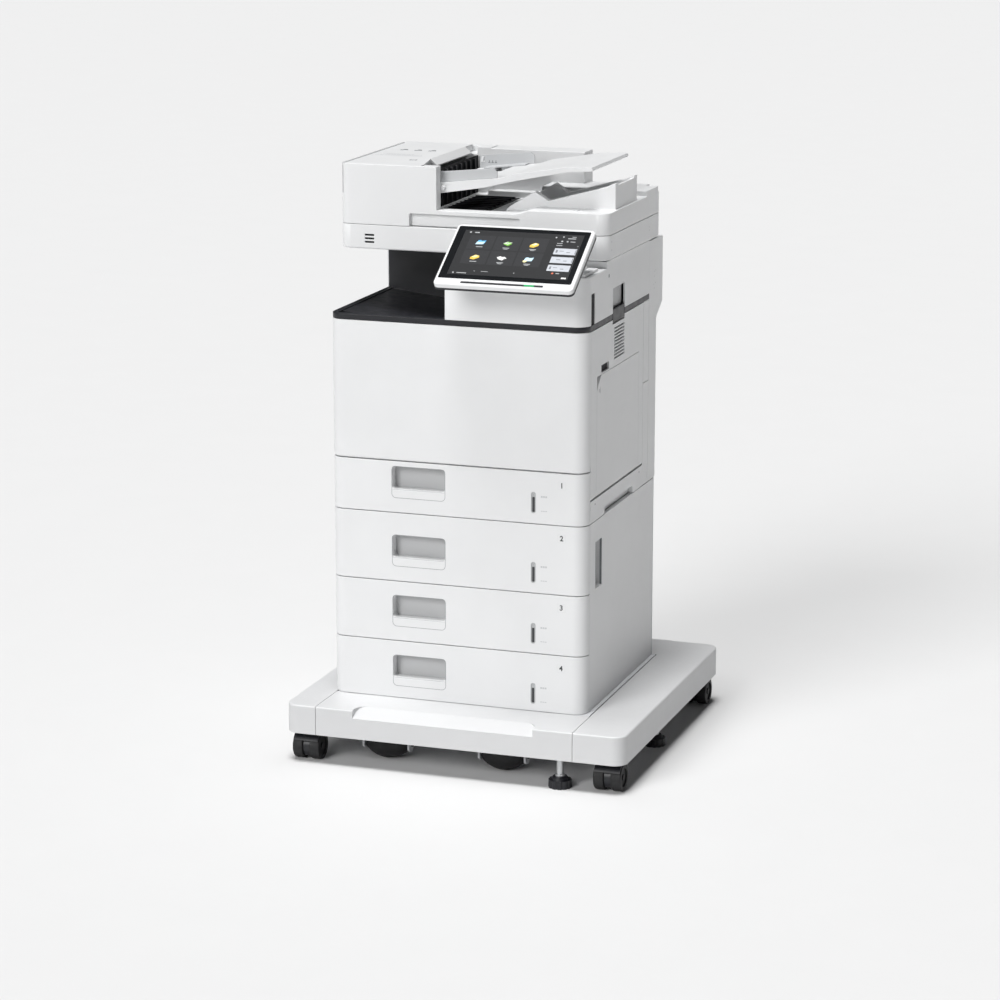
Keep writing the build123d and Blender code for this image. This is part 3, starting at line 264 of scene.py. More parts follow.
def softened(node, width):
    """A moulded piece of the CAD node's shape whose sharp edges have a small radius."""
    mesh = cad_nodes[node].data.copy()
    mesh.name = node + "_moulding"
    work = bmesh.new()
    work.from_mesh(mesh)
    bmesh.ops.remove_doubles(work, verts=work.verts, dist=WELD)
    bmesh.ops.dissolve_limit(work, angle_limit=COPLANAR, verts=work.verts, edges=work.edges)
    for face in work.faces:
        curved = any(edge.is_manifold and CURVED < edge.calc_face_angle() < SHARP for edge in face.edges)
        face.smooth = curved and face.calc_area() < LARGE_FACE
    work.to_mesh(mesh)
    work.free()
    mesh.materials.clear()
    piece = new_object(node + "_moulding", mesh, SLOTS[slot_of_node[node]])
    round_edges(piece, width)
    declare(piece, body_of_node[node])
    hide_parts(node)


for node in COVERS:
    softened(node, COVER_EDGE)
for node in TRIMS:
    softened(node, TRIM_EDGE)


# ---- shapes that lie on a face ----

Face = collections.namedtuple("Face", "origin right up out")
PRINT_RISE, PRINT_SINK = 0.12, 0.25
THIN_PRINT = 0.08
THIN_MARK = 0.06
THIN_PLUG = 0.05


def seen_from_front(place):
    return Face(place, RIGHT, UP, -BACK)


def seen_from_right(place):
    return Face(place, BACK, UP, RIGHT)


def seen_from_above(place):
    return Face(place, RIGHT, BACK, UP)


def side_face(node, axis, high):
    """The outer face of a node across one axis, measured in whole-object coordinates."""
    low_corner, high_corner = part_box(node)
    place = Vector((0, 0, 0))
    place[axis] = (high_corner if high else low_corner)[axis]
    return (seen_from_right, seen_from_front, seen_from_above)[axis](place)


def on_face(face, u, v, w=0.0):
    """The point u mm to the right, v mm up and w mm off a face."""
    return face.origin + face.right * (u * MM) + face.up * (v * MM) + face.out * (w * MM)


def grown(pair, by):
    return (pair[0] - by, pair[1] + by)


def rounded(u, v, radius, steps=5):
    """Outline of a rectangle with round corners, anticlockwise."""
    outline = []
    for corner_u, corner_v, start in ((u[1], v[0], 270), (u[1], v[1], 0), (u[0], v[1], 90), (u[0], v[0], 180)):
        centre_u = corner_u - radius if corner_u == u[1] else corner_u + radius
        centre_v = corner_v - radius if corner_v == v[1] else corner_v + radius
        for step in range(steps + 1):
            angle = math.radians(start + 90 * step / steps)
            outline.append((centre_u + radius * math.cos(angle), centre_v + radius * math.sin(angle)))
    return outline


def disc(u, v, radius, steps=20):
    return [(u + radius * math.cos(math.tau * k / steps), v + radius * math.sin(math.tau * k / steps))
            for k in range(steps)]


def add_prism(work, face, outline, sink, rise):
    """A raised shape from sink mm under the face to rise mm over it."""
    bottom = [work.verts.new(on_face(face, u, v, -sink)) for u, v in outline]
    top = [work.verts.new(on_face(face, u, v, rise)) for u, v in outline]
    work.faces.new(top)
    work.faces.new(bottom[::-1])
    for k in range(len(outline)):
        after = (k + 1) % len(outline)
        work.faces.new((bottom[k], bottom[after], top[after], top[k]))


def add_ring(work, face, outer, inner, sink, rise):
    """A raised border between two outlines with as many points each."""
    loops = [[work.verts.new(on_face(face, u, v, w)) for u, v in outline]
             for outline, w in ((outer, -sink), (outer, rise), (inner, rise), (inner, -sink))]
    for k in range(len(outer)):
        after = (k + 1) % len(outer)
        for here, there in zip(loops, loops[1:] + loops[:1]):
            work.faces.new((here[k], here[after], there[after], there[k]))


def finish_shapes(name, work, material, body):
    bmesh.ops.recalc_face_normals(work, faces=work.faces)
    mesh = bpy.data.meshes.new(name)
    work.to_mesh(mesh)
    work.free()
    declare(new_object(name, mesh, material), body)


def reliefs(name, face, outlines, material, body, slot, rise=PRINT_RISE, sink=PRINT_SINK):
    """Flat shapes printed or set on a face, as one piece."""
    work = bmesh.new()
    for outline in outlines:
        add_prism(work, face, outline, sink, rise)
    finish_shapes(name, work, material, body)


def rings(name, face, pairs, material, body, slot, rise=PRINT_RISE, sink=PRINT_SINK):
    """Borders set on a face, each between an outer and an inner outline, as one piece."""
    work = bmesh.new()
    for outer, inner in pairs:
        add_ring(work, face, outer, inner, sink, rise)
    finish_shapes(name, work, material, body)


FIGURE_HEIGHT = 9.5
CAPITAL_HEIGHT = 0.70
FIGURE_WEIGHT = 0.30 * MM
FIGURE_RISE = 0.12 * MM


def numeral(name, face, u, v, text, body):
    """A printed figure, centred at u, v."""
    curve = bpy.data.curves.new(name + "_outline", "FONT")
    curve.body = text
    curve.size = FIGURE_HEIGHT * MM / CAPITAL_HEIGHT
    curve.extrude = FIGURE_RISE
    curve.offset = FIGURE_WEIGHT
    curve.align_x = "CENTER"
    curve.align_y = "CENTER"
    holder = bpy.data.objects.new(name + "_outline", curve)
    mesh = bpy.data.meshes.new_from_object(holder)
    bpy.data.objects.remove(holder)
    for vertex in mesh.vertices:
        x, y, z = vertex.co / MM
        vertex.co = on_face(face, u + x, v + y, z)
    mesh.materials.clear()
    declare(new_object(name, mesh, INK), body)


# ---- cassette fronts ----

PULL_X = (-151.0, -48.1)
PULL_BOTTOM = {1: 489.4, 2: 361.0, 3: 247.1, 4: 133.2}
PULL_HEIGHT, PULL_LEDGE, PULL_RADIUS = 58.6, 16.5, 8.0
RIM_WIDTH = 0.9
# Gap, corner radius and depth of the painted-shade plate in the pull recess.
PULL_SHADE_GAP, PULL_SHADE_RADIUS = 0.4, 5.6
PULL_SHADE_DEPTH = {"rise": -19.2, "sink": 19.9}
LIP_GAP, LIP_RADIUS = 1.2, 0.4
LIP_BELOW_LEDGE = (1.0, 0.1)

GAUGE_X, GAUGE_HALF = 120.7, 4.0
GAUGE_Z = {1: (481.7, 519.9), 2: (352.4, 390.3), 3: (238.6, 276.3), 4: (124.8, 163.1)}
GAUGE_RIM_OUT, GAUGE_RIM_IN, GAUGE_RIM_RISE = 0.7, -0.5, 0.3
WELL_GAP, WELL_RADIUS = 0.4, 3.5
WELL_DEPTH = {"rise": -1.2, "sink": 2.0}
BAR_GAP, BAR_FOOT, BAR_HEAD, BAR_RADIUS = 1.8, 1.6, 9.0, 1.6
BAR_DEPTH = {"rise": -0.7, "sink": 1.4}
FLOAT_DROP, FLOAT_OUTER, FLOAT_INNER = 5.2, 3.0, 1.6
FLOAT_DEPTH = {"rise": -0.4, "sink": 1.2}
MARK_STARTS = (14.0, 18.2, 22.4)
MARK_WIDTH, MARK_RADIUS = 3.4, 0.5
FULL_MARK, EMPTY_MARK = (6.0, 3.2), (5.0, 1.6)

FIGURE_X = 174.0
FIGURE_Z = {1: 535.0, 2: 437.7, 3: 308.9, 4: 195.4}
BORDER_HALF, BORDER_WIDTH = 7.5, 0.35

for number in DRAWERS:
    node = f"cassette_{number}_front"
    body = body_of_node[node]
    face = side_face(node, Y, high=False)

    pull_z = (PULL_BOTTOM[number], PULL_BOTTOM[number] + PULL_HEIGHT)
    ledge_z = pull_z[0] + PULL_LEDGE
    rings(f"pull_rim_{number}", face,
          [(rounded(grown(PULL_X, RIM_WIDTH / 2), grown(pull_z, RIM_WIDTH / 2), PULL_RADIUS),
            rounded(grown(PULL_X, -RIM_WIDTH / 2), grown(pull_z, -RIM_WIDTH / 2), PULL_RADIUS - RIM_WIDTH))],
          SEAM_GREY, body, "grey_plastic")
    # Painted shade: a grey plate at the back of the pull's recess, where it is dark with occlusion.
    reliefs(f"pull_shade_{number}", face,
            [rounded(grown(PULL_X, -PULL_SHADE_GAP), (ledge_z + PULL_SHADE_GAP, pull_z[1] - PULL_SHADE_GAP), PULL_SHADE_RADIUS)],
            SHADE_AND_GAUGE_GREY, body, "grey_plastic", **PULL_SHADE_DEPTH)
    lip_z = tuple(ledge_z - drop for drop in LIP_BELOW_LEDGE)
    reliefs(f"pull_ledge_lip_{number}", face, [rounded(grown(PULL_X, -LIP_GAP), lip_z, LIP_RADIUS)],
            PALE_MARK, body, "grey_plastic")

    gauge_x = (GAUGE_X - GAUGE_HALF, GAUGE_X + GAUGE_HALF)
    gauge_z = GAUGE_Z[number]
    rings(f"gauge_rim_{number}", face,
          [(rounded(grown(gauge_x, GAUGE_RIM_OUT), grown(gauge_z, GAUGE_RIM_OUT), GAUGE_HALF + 0.6),
            rounded(grown(gauge_x, GAUGE_RIM_IN), grown(gauge_z, GAUGE_RIM_IN), GAUGE_HALF - 0.6))],
          PALE_MARK, body, "grey_plastic", rise=GAUGE_RIM_RISE)
    reliefs(f"gauge_well_{number}", face,
            [rounded(grown(gauge_x, -WELL_GAP), grown(gauge_z, -WELL_GAP), WELL_RADIUS)],
            SHADE_AND_GAUGE_GREY, body, "grey_plastic", **WELL_DEPTH)
    reliefs(f"gauge_bar_{number}", face,
            [rounded(grown(gauge_x, -BAR_GAP), (gauge_z[0] + BAR_FOOT, gauge_z[1] - BAR_HEAD), BAR_RADIUS)],
            INK, body, "black_plastic", **BAR_DEPTH)
    float_z = gauge_z[1] - FLOAT_DROP
    rings(f"gauge_float_{number}", face,
          [(disc(GAUGE_X, float_z, FLOAT_OUTER), disc(GAUGE_X, float_z, FLOAT_INNER))],
          PALE_MARK, body, "grey_plastic", **FLOAT_DEPTH)
    marks = []
    for mark_top, mark_height in ((gauge_z[1] - FULL_MARK[0], FULL_MARK[1]),
                                  (gauge_z[0] + EMPTY_MARK[0], EMPTY_MARK[1])):
        for start in MARK_STARTS:
            mark_x = (GAUGE_X + start, GAUGE_X + start + MARK_WIDTH)
            marks.append(rounded(mark_x, (mark_top - mark_height, mark_top), MARK_RADIUS))
    reliefs(f"gauge_marks_{number}", face, marks, PALE_MARK, body, "grey_plastic", rise=THIN_MARK)

    numeral(f"figure_{number}", face, FIGURE_X, FIGURE_Z[number], str(number), body)
    square_x = (FIGURE_X - BORDER_HALF, FIGURE_X + BORDER_HALF)
    square_z = (FIGURE_Z[number] - BORDER_HALF, FIGURE_Z[number] + BORDER_HALF)
    rings(f"figure_border_{number}", face,
          [(rounded(square_x, square_z, 1.0),
            rounded(grown(square_x, -BORDER_WIDTH), grown(square_z, -BORDER_WIDTH), 0.7))],
          moulded(f"border_white_{number}", (0.68, 0.69, 0.70)), body, "grey_plastic", rise=THIN_PLUG)


# ---- the display, in fractions of the view and mm on the glass ----

TILT = math.radians(32)
GLASS_DEPTH, GLASS_LENGTH = 2.0, 140.8
LEFT_MARGIN, RIGHT_MARGIN, LOW_MARGIN, TOP_MARGIN = 14.0, 10.0, 11.0, 10.0
glass_low, glass_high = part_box("touch_screen")
panel_up = Vector((0, math.cos(TILT), math.sin(TILT)))
panel_out = Vector((0, -math.sin(TILT), math.cos(TILT)))
panel_face = Face(Vector((0, glass_low.y, glass_low.z + GLASS_DEPTH * MM * math.cos(TILT))),
                  RIGHT, panel_up, panel_out)
VIEW_U = (glass_low.x / MM + LEFT_MARGIN, glass_high.x / MM - RIGHT_MARGIN)
VIEW_V = (LOW_MARGIN, GLASS_LENGTH - TOP_MARGIN)
VIEW_SIZE = (VIEW_U[1] - VIEW_U[0], VIEW_V[1] - VIEW_V[0])


def lit(name, outlines, colour, rise):
    """Shapes of the display, each layer a little over the one below."""
    reliefs("display_" + name, panel_face, outlines, DISPLAY[colour], "control_panel", "screen",
            rise=rise, sink=0.05 - rise / 2)


def from_view(u, v):
    return VIEW_U[0] + u * VIEW_SIZE[0], VIEW_V[0] + v * VIEW_SIZE[1]


def tile(u, v, radius=0.6):
    low, high = from_view(u[0], v[0]), from_view(u[1], v[1])
    return rounded((low[0], high[0]), (low[1], high[1]), radius)


def placed(points, u, v, scale=1.0):
    centre = from_view(u, v)
    return [(centre[0] + x * scale, centre[1] + y * scale) for x, y in points]


GROUND_RISE, CELL_RISE, TILE_RISE, TEXT_RISE, TILE_MARK_RISE = 0.06, 0.10, 0.14, 0.15, 0.18
SHEET_RISE, TOP_RISE = 0.05, 0.25
FINE = 0.2
COLUMNS, ROWS = (0.170, 0.395, 0.620), (0.73, 0.40)
CELL_HALF = (0.106, 0.155)
SIDE_TILES, SIDE_TILE_U, SIDE_TILE_HALF = (0.62, 0.43, 0.25), (0.80, 0.985), 0.068
HEADER_AND_FOOTER = (
    ((0.085, 0.125), (0.938, 0.958), 0.3), ((0.875, 0.94), (0.905, 0.922), 0.3),
    ((0.905, 0.94), (0.945, 0.957), 0.2), ((0.80, 0.845), (0.790, 0.802), 0.2),
    ((0.80, 0.85), (0.745, 0.757), 0.2), ((0.905, 0.945), (0.835, 0.850), 0.3),
    ((0.975, 0.985), (0.745, 0.755), 0.2), ((0.27, 0.33), (0.085, 0.093), 0.2),
    ((0.075, 0.155), (0.030, 0.044), 0.2), ((0.885, 0.915), (0.125, 0.140), 0.3),
)
BADGES = ((0.05, 0.95, 1.9), (0.775, 0.925, 1.7), (0.835, 0.945, 1.6), (0.835, 0.845, 2.0),
          (0.880, 0.845, 1.8), (0.215, 0.09, 0.9), (0.545, 0.09, 1.1), (0.045, 0.037, 1.7))
BADGE_STEPS = 14
ALERT = (0.858, 0.132, 2.1)
BATTERY = ((0.945, 0.985), (0.022, 0.050), 0.4)

lit("ground", [rounded(VIEW_U, VIEW_V, 0.8)], "ground", GROUND_RISE)
lit("cells", [tile(grown((u, u), CELL_HALF[0]), grown((v, v), CELL_HALF[1])) for u in COLUMNS for v in ROWS],
    "cell", CELL_RISE)
lit("side_tiles", [tile(SIDE_TILE_U, grown((v, v), SIDE_TILE_HALF)) for v in SIDE_TILES], "tile", TILE_RISE)
lit("side_tile_marks",
    [tile((0.815, 0.83), (v - 0.03, v + 0.03), 0.3) for v in (SIDE_TILES[0], SIDE_TILES[2])]
    + [tile((0.845, 0.880), (v + 0.002, v + 0.014), FINE) for v in SIDE_TILES]
    + [tile((0.905, 0.935), (v - 0.022, v - 0.008), FINE) for v in SIDE_TILES]
    + [tile((0.975, 0.982), (v - 0.05, v + 0.05), FINE) for v in SIDE_TILES[:2]],
    "tile_edge", TILE_MARK_RISE)
captions = [tile((u - 0.028, u + 0.028), (v - 0.105, v - 0.092), FINE) for u in COLUMNS for v in ROWS]
captions += [tile((u - 0.018, u + 0.018), (v - 0.128, v - 0.117), FINE) for u in COLUMNS[1:] for v in ROWS]
captions += [tile(u, v, radius) for u, v, radius in HEADER_AND_FOOTER]
captions += [disc(*from_view(u, v), radius, BADGE_STEPS) for u, v, radius in BADGES]
lit("captions", captions, "text", TEXT_RISE)
lit("alert", [disc(*from_view(ALERT[0], ALERT[1]), ALERT[2], BADGE_STEPS)], "red", TEXT_RISE)
lit("battery", [tile(*BATTERY)], "white", TEXT_RISE)

# Each picture is a back shape and a front shape, in mm about its middle.
FOLDER_BACK = [(-9.5, -5.0), (-6.5, 6.0), (-1.5, 6.6), (0.5, 4.6), (9.5, 6.6), (7.0, -3.5)]
FOLDER_FRONT = [(-10.0, -6.0), (5.5, -5.0), (8.0, 2.2), (-8.0, 1.4)]
SHEETS = [(-9.0, 0.5), (-1.0, 5.5), (9.0, 3.5), (0.5, -2.5)]
SHEETS_LOW = [(-8.0, -2.0), (0.5, 2.0), (9.5, 0.5), (2.0, -6.5)]
TRAY = [(-8.5, -6.0), (-8.5, -0.5), (0.0, 6.5), (8.5, 4.0), (8.5, -1.5), (-0.5, -7.5)]
TRAY_TOP = [(-6.5, 0.5), (1.0, 5.5), (7.0, 3.4), (0.0, -1.6)]
CARD = [(-10.0, 2.5), (-3.5, 5.5), (0.0, 3.5), (5.5, 4.5), (10.0, 0.0), (5.0, -2.0), (2.5, -6.0),
        (-6.5, -3.0)]
CARD_MARK = [(4.0, 0.5), (6.0, 1.5), (7.0, 0.0), (5.0, -0.8)]
KEY = [(-10.0, -7.5), (-10.0, -2.5), (-4.0, -1.5), (-2.0, -4.5), (-5.0, -8.0)]
SEND_ARROW = [(-2.5, 2.2), (3.0, 4.6), (6.0, 1.6), (2.0, 2.2), (0.0, 0.2)]
BOX_FLAP = [(-1.0, 2.0), (2.5, 4.6), (4.5, 3.2), (1.0, 0.8)]
PICTURE_SCALE = 0.92
PICTURES = (
    ("copy", 0, 0, ((FOLDER_BACK, "blue"), (FOLDER_FRONT, "pale_blue"))),
    ("send", 1, 0, ((SHEETS_LOW, "green"), (SHEETS, "pale_green"))),
    ("box", 2, 0, ((TRAY, "yellow"), (TRAY_TOP, "pale_yellow"))),
    ("store", 0, 1, ((TRAY, "yellow"), (TRAY_TOP, "pale_yellow"))),
    ("hold", 1, 1, ((CARD, "white"), (CARD_MARK, "tile_edge"))),
    ("guide", 2, 1, ((FOLDER_BACK, "pale_blue"), (KEY, "pale_yellow"))),
)
for name, column, row, layers in PICTURES:
    for depth, (points, colour) in enumerate(layers):
        lit(f"{name}_{depth}", [placed(points, COLUMNS[column], ROWS[row], PICTURE_SCALE)], colour,
            TEXT_RISE + SHEET_RISE * depth)
lit("send_arrow", [placed(SEND_ARROW, COLUMNS[1], ROWS[0])], "green", TOP_RISE)
lit("box_flap", [placed(BOX_FLAP, COLUMNS[2], ROWS[0])], "white", TOP_RISE)


# ---- the panel's bezel and back ----

LAMP_WINDOW_U, LAMP_LIT_U, LAMP_V = (14, 166), (131, 150), (-11.5, -6.5)
LAMP_MARK_U, LAMP_MARK_HALF, LAMP_MARK_V = (38, 90, 141), 2.6, (-3.9, -2.3)
housing_out = max((vertex.co - panel_face.origin).dot(panel_out)
                  for vertex in cad_nodes["panel_housing"].data.vertices)
bezel_face = panel_face._replace(origin=panel_face.origin + panel_out * housing_out)
reliefs("lamp_window", bezel_face, [rounded(LAMP_WINDOW_U, LAMP_V, 0.8)], BLACK, "control_panel",
        "black_plastic")
reliefs("lamp_lit", bezel_face, [rounded(LAMP_LIT_U, grown(LAMP_V, -0.5), 1.6)], DISPLAY["led"],
        "control_panel", "screen", rise=0.2)
reliefs("lamp_marks", bezel_face,
        [rounded(grown((u, u), LAMP_MARK_HALF), LAMP_MARK_V, 0.5) for u in LAMP_MARK_U],
        PALE_MARK, "control_panel", "grey_plastic")

SHELL_OUT, SHELL_IN = 0.4, -6
SHELL_CORNER_STEPS = 8
SHELL_DEPTH = {"rise": -8.6, "sink": 13.2}
BORDER_LOW, BORDER_HIGH = 17.0, 6.0
shell_low, shell_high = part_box("panel_housing")
shell_u = (shell_low.x / MM, shell_high.x / MM)
shell_v = (-BORDER_LOW, GLASS_LENGTH + BORDER_HIGH)
rings("panel_back_shell", panel_face,
      [(rounded(grown(shell_u, SHELL_OUT), grown(shell_v, SHELL_OUT), 9.4, SHELL_CORNER_STEPS),
        rounded(grown(shell_u, SHELL_IN), grown(shell_v, SHELL_IN), 5, SHELL_CORNER_STEPS))],
      BLACK, "control_panel", "black_plastic", **SHELL_DEPTH)


# ---- scanner and feeder ----

VENT_U, VENT_V, VENT_STEP, VENTS = (-240, -222), (937.5, 941), 6.5, 3
VENT_DEPTH = {"rise": -1.2, "sink": 2.2}
LABEL_LINES = (((-269, -176), (18, 21)), ((-262, -186), (26, 29)),
               ((-252, -182), (34, 37)), ((-262, -200), (42, 45)))
LABEL_ARROW = ((0, 98), (7, 98), (7, 102), (15, 102), (11, 114), (4, 114), (4, 106), (0, 106))
LABEL_ARROW_U = (-250, -222, -194)
LABEL_BUTTON = (rounded((-182, -168), (-36, -24), 2), rounded((-179.5, -170.5), (-33.5, -26.5), 1))

vents = [rounded(VENT_U, (VENT_V[0] + VENT_STEP * k, VENT_V[1] + VENT_STEP * k), 0.8) for k in range(VENTS)]
reliefs("scanner_vents", side_face("scanner_housing", Y, high=False), vents, SHADOW, "machine",
        "black_plastic", **VENT_DEPTH)
feeder_top = side_face("adf_feeder_cover", Z, high=True)
reliefs("feeder_label", feeder_top, [rounded(u, v, 0.8) for u, v in LABEL_LINES], PALE_MARK,
        "feeder_cover", "grey_plastic", rise=THIN_PRINT)
reliefs("feeder_label_arrows", feeder_top,
        [[(start + u, v) for u, v in LABEL_ARROW] for start in LABEL_ARROW_U],
        PRINT_AND_SHADE_GREY, "feeder_cover", "grey_plastic", rise=THIN_PRINT)
rings("feeder_label_button", feeder_top, [LABEL_BUTTON], PRINT_AND_SHADE_GREY, "feeder_cover", "grey_plastic",
      rise=THIN_PRINT)

LID_SHELF_Z, LID_FLOOR_Z = 1011.0, 991.0
LID_MARK_U, LID_MARK_V = 159, -79
LID_POINTER = ((-1.2, -1.2), (1.2, -1.2), (0, 1.4))
LID_POINTER_PLACES = ((-8.4, 0), (8.4, 0), (0, -8.8), (0, 8.8))
pointers = [[(LID_MARK_U + right + u, LID_MARK_V + up + v) for u, v in LID_POINTER]
            for right, up in LID_POINTER_PLACES]
reliefs("lid_marks", seen_from_above(Vector((0, 0, LID_SHELF_Z * MM))),
        [disc(LID_MARK_U, LID_MARK_V, 2.2)] + pointers, PRINT_AND_SHADE_GREY, "document_lid", "grey_plastic",
        rise=THIN_PRINT)

GUIDE_THICKNESS = 3.5
GUIDE_MARK = ((0, 1060.5), (4.4, 1060.5), (4.4, 1062.0), (2.9, 1062.0), (2.9, 1065.5), (1.5, 1065.5),
              (1.5, 1062.0), (0, 1062.0))
GUIDE_MARK_U = (-86.5, -80.0, -73.5)
GUIDE_CLIP = [(-101, 1062), (-93, 1062), (-93, 1064.5), (-96.5, 1064.5), (-94, 1072), (-99, 1072)]
guide_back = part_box("adf_guide_rear")[1].y
guide_face = seen_from_front(Vector((0, guide_back - GUIDE_THICKNESS * MM, 0)))
reliefs("guide_marks", guide_face, [[(start + u, v) for u, v in GUIDE_MARK] for start in GUIDE_MARK_U],
        PRINT_AND_SHADE_GREY, "guide_rear", "grey_plastic")
reliefs("guide_clip", guide_face, [GUIDE_CLIP], SLOTS["white_plastic"], "guide_rear", "white_plastic",
        rise=2.2)

# The throat of the feeder: painted shadow on a wall and on the floor below the tray, each with black ribs.
THROAT_X = -126.0
THROAT_WALL = ((-86, 189), (996, 1067), 2.0)
THROAT_RIB_Z, THROAT_RIB_HALF = (998, 1064), 1.2
EXIT_FLOOR = ((-123, -34), (-78, 168), 3.0)
EXIT_RIB_X, EXIT_RIB_HALF = (-118, -40), 1.0
throat = seen_from_right(Vector((THROAT_X * MM, 0, 0)))
reliefs("feeder_throat_wall", throat, [rounded(*THROAT_WALL)], SHADOW, "document_lid", "black_plastic",
        rise=0.5, sink=0.8)
reliefs("feeder_throat_ribs", throat,
        [rounded((y - THROAT_RIB_HALF, y + THROAT_RIB_HALF), THROAT_RIB_Z, 1.0) for y in range(-74, 186, 26)],
        BLACK, "document_lid", "black_plastic", rise=5.0, sink=0.2)
lid_floor = seen_from_above(Vector((0, 0, LID_FLOOR_Z * MM)))
reliefs("feeder_exit_floor", lid_floor, [rounded(*EXIT_FLOOR)], SHADOW, "document_lid", "black_plastic",
        rise=0.8, sink=0.3)
reliefs("feeder_exit_ribs", lid_floor,
        [rounded(EXIT_RIB_X, (y - EXIT_RIB_HALF, y + EXIT_RIB_HALF), 0.9) for y in range(-66, 166, 22)],
        BLACK, "document_lid", "black_plastic", rise=4.5, sink=0.1)


# ---- levelling feet ----

ROD_BOTTOM = 21.2 * MM


def steel_above(node, height):
    """A piece of the CAD node's shape whose faces over a height are steel."""
    mesh = cad_nodes[node].data.copy()
    mesh.name = node + "_turned"
    mesh.materials.clear()
    piece = new_object(node + "_turned", mesh, SLOTS[slot_of_node[node]])
    mesh.materials.append(SLOTS["zinc_steel"])
    for polygon in mesh.polygons:
        polygon.material_index = int(polygon.center.z > height)
    declare(piece, body_of_node[node])
    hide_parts(node)


for node in [name for name in cad_nodes if name.startswith("leveling_foot")]:
    steel_above(node, ROD_BOTTOM)


# ---- right-hand side, in mm along Y and Z ----

LOCK_Y, LOCK_Z = -87, 897
LOCK_SLOT = ((-88.2, -85.4), (893.4, 900.6), 1.2)
COLUMN_SLOT = ((-191, -170.5), (824.5, 879.5), 1.0)
COLUMN_SLOT_DEPTH = {"rise": -1.5, "sink": 2.8}
LATCH_RECESS = ((-59.5, 10.5), (824.5, 869), 2.0)
LATCH_RECESS_DEPTH = {"rise": -6.5, "sink": 7.5}
SCANNER_PLUGS = ((-88, 959, 1.6), (-88, 944, 1.6), (152, 946, 1.4), (152, 952, 1.4))
REAR_PLUGS = ((206, 860), (213, 862), (206, 851), (201, 836), (204, 829), (212, 838))
REAR_PLUG_RADIUS = 1.5

column_side = side_face("column_cover", X, high=True)
rings("service_lock", column_side, [(disc(LOCK_Y, LOCK_Z, 3.4), disc(LOCK_Y, LOCK_Z, 2.5))], PALE_MARK,
      "machine", "grey_plastic")
reliefs("service_lock_slot", column_side, [rounded(*LOCK_SLOT)], SHADOW, "machine", "black_plastic")
reliefs("column_slot_well", column_side, [rounded(*COLUMN_SLOT)], SHADOW, "machine", "black_plastic",
        **COLUMN_SLOT_DEPTH)
# Painted shade: a grey plate at the back of the latch recess.
reliefs("latch_recess_shade", column_side, [rounded(*LATCH_RECESS)], SHADE_AND_GAUGE_GREY, "machine", "grey_plastic",
        **LATCH_RECESS_DEPTH)
reliefs("scanner_side_plugs", side_face("scanner_housing", X, high=True),
        [disc(*plug) for plug in SCANNER_PLUGS], PALE_MARK, "machine", "grey_plastic", rise=THIN_PLUG)
reliefs("rear_side_plugs", side_face("main_rear_cover", X, high=True),
        [disc(u, v, REAR_PLUG_RADIUS) for u, v in REAR_PLUGS], PALE_MARK, "machine", "grey_plastic",
        rise=THIN_PLUG)

# The side grip gets painted shade, as dark plates on its floor and on the outer half of its rear wall.
GRIP_FLOOR_X, GRIP_WALL_Y = 207.5, -116.5
GRIP_Y, GRIP_Z, GRIP_SHADE_X = (-131.0, -116.7), (333.4, 420.6), 214.8
GRIP_SHADE_RISE, GRIP_SHADE_RADIUS = 0.3, 0.8
grip_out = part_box("deck_right_cover")[1][X] / MM - 1.0
reliefs("grip_floor_shade", seen_from_right(Vector((GRIP_FLOOR_X * MM, 0, 0))),
        [rounded(GRIP_Y, GRIP_Z, GRIP_SHADE_RADIUS)], PRINT_AND_SHADE_GREY, "machine", "black_plastic",
        rise=GRIP_SHADE_RISE)
reliefs("grip_wall_shade", seen_from_front(Vector((0, GRIP_WALL_Y * MM, 0))),
        [rounded((GRIP_SHADE_X, grip_out), GRIP_Z, GRIP_SHADE_RADIUS)], PRINT_AND_SHADE_GREY, "machine", "black_plastic",
        rise=GRIP_SHADE_RISE)

HINGE_HOLE_SHADES = ((-161.5, 493, 1.8), (115, 493, 1.8))
LOUVRE_SHADE = ((-50, 12), (738, 797), 1.0)
LOUVRE_SHADE_DEPTH = {"rise": -3.4, "sink": 4.6}
CATCH_WELL = ((-128, -82), (727.5, 740.5), 1.5)
CATCH_WELL_DEPTH = {"rise": -4.0, "sink": 7.4}
BYPASS_ARROW = [(-142, 700), (-137, 700), (-133, 704), (-133, 690), (-137, 694), (-142, 694)]
# Painted shade: dark discs where the hinge holes are.
reliefs("hinge_hole_shades", side_face("lower_right_panel", X, high=True),
        [disc(*hole_shade) for hole_shade in HINGE_HOLE_SHADES], PRINT_AND_SHADE_GREY, "machine", "black_plastic", rise=THIN_PLUG)
door_side = side_face("right_door", X, high=True)
# Painted shade: a dark plate behind the louvre slots.
reliefs("louvre_shade", door_side, [rounded(*LOUVRE_SHADE)], PRINT_AND_SHADE_GREY, "right_door", "black_plastic",
        **LOUVRE_SHADE_DEPTH)
reliefs("bypass_catch_well", door_side, [rounded(*CATCH_WELL)], SHADOW, "right_door", "black_plastic",
        **CATCH_WELL_DEPTH)
reliefs("bypass_mark", side_face("mp_tray", X, high=True), [BYPASS_ARROW], PALE_MARK, "mp_tray",
        "grey_plastic", rise=THIN_MARK)


# ---- stage, light and camera ----

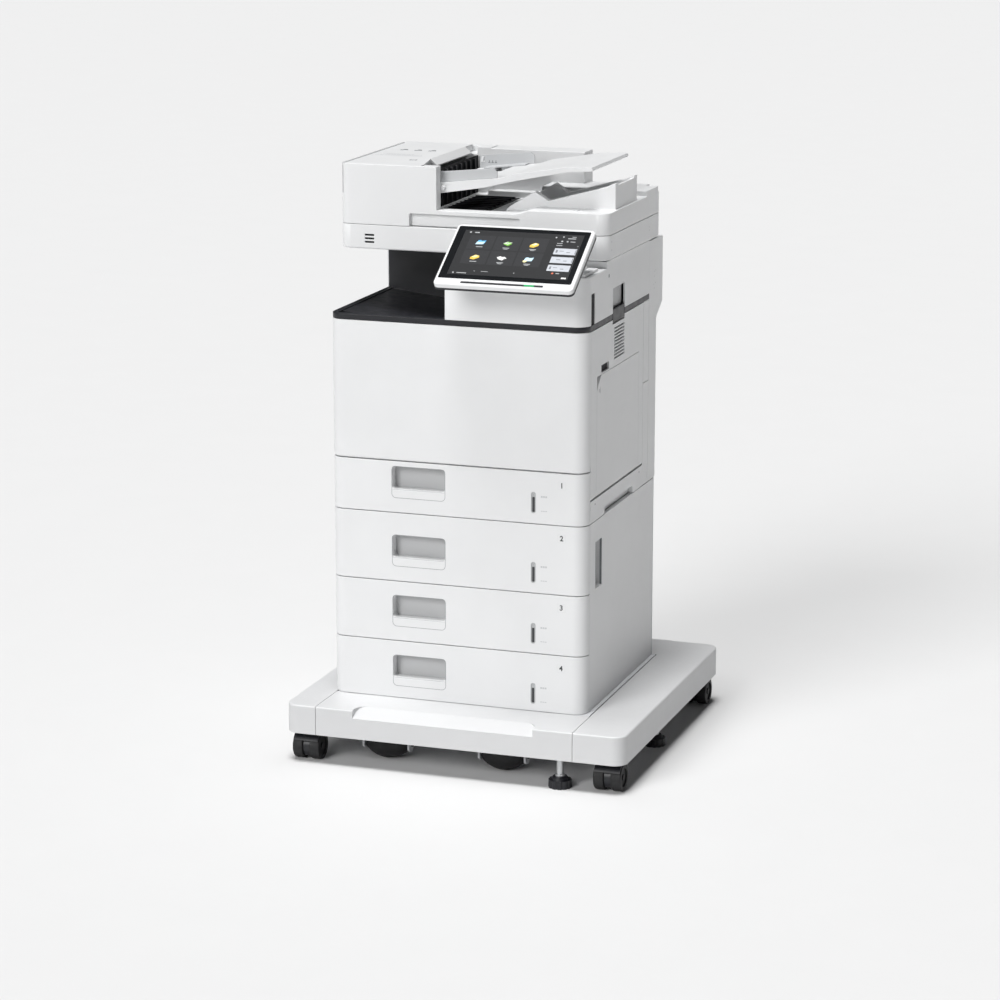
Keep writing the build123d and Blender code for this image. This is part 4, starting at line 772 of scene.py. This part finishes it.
FLOOR_CELLS, FLOOR_HALF = 12, 70
KEY_LIGHT = ("key", (0.28, 0.83, -0.48), 1.85, 28)
TOP_LIGHT = ("top", (0.02, 0.12, -1.0), 2.9, 20)
SKY_COLOUR, SKY_STRENGTH = (0.97, 0.98, 1.0, 1), 0.07
CAMERA_PLACE = (1.9011, -5.5777, 1.8446)
CAMERA_PITCH, CAMERA_YAW = math.radians(90 - 13.337), math.radians(18.979)
SENSOR_WIDTH, FOCAL_LENGTH = 36, 116.51


def sun(name, towards, strength, spread):
    """A soft distant light that travels in one direction."""
    lamp = bpy.data.lights.new(name, "SUN")
    lamp.energy = strength
    lamp.angle = math.radians(spread)
    light = bpy.data.objects.new(name, lamp)
    bpy.context.scene.collection.objects.link(light)
    light.rotation_euler = Vector(towards).to_track_quat("-Z", "Y").to_euler()


def build_stage():
    work = bmesh.new()
    bmesh.ops.create_grid(work, x_segments=FLOOR_CELLS, y_segments=FLOOR_CELLS, size=FLOOR_HALF)
    mesh = bpy.data.meshes.new("floor")
    work.to_mesh(mesh)
    work.free()
    pale = moulded("pale_floor", (0.71, 0.71, 0.71), spread=0.004, rough=(0.85, 0.95), grain=40,
                   depth=0.0001, strength=0.02)
    floor = new_object("floor", mesh, pale)
    world = bpy.data.worlds.new("studio")
    world.use_nodes = True
    sky = world.node_tree.nodes["Background"]
    sky.inputs["Color"].default_value = SKY_COLOUR
    sky.inputs["Strength"].default_value = SKY_STRENGTH
    bpy.context.scene.world = world
    sun(*KEY_LIGHT)
    sun(*TOP_LIGHT)


def build_camera():
    lens = bpy.data.cameras.new("camera")
    lens.sensor_width = SENSOR_WIDTH
    lens.lens = FOCAL_LENGTH
    camera = bpy.data.objects.new("camera", lens)
    bpy.context.scene.collection.objects.link(camera)
    camera.location = CAMERA_PLACE
    camera.rotation_euler = (CAMERA_PITCH, 0, CAMERA_YAW)
    bpy.context.scene.camera = camera


build_stage()
build_camera()
bpy.context.scene.view_settings.view_transform = "Standard"
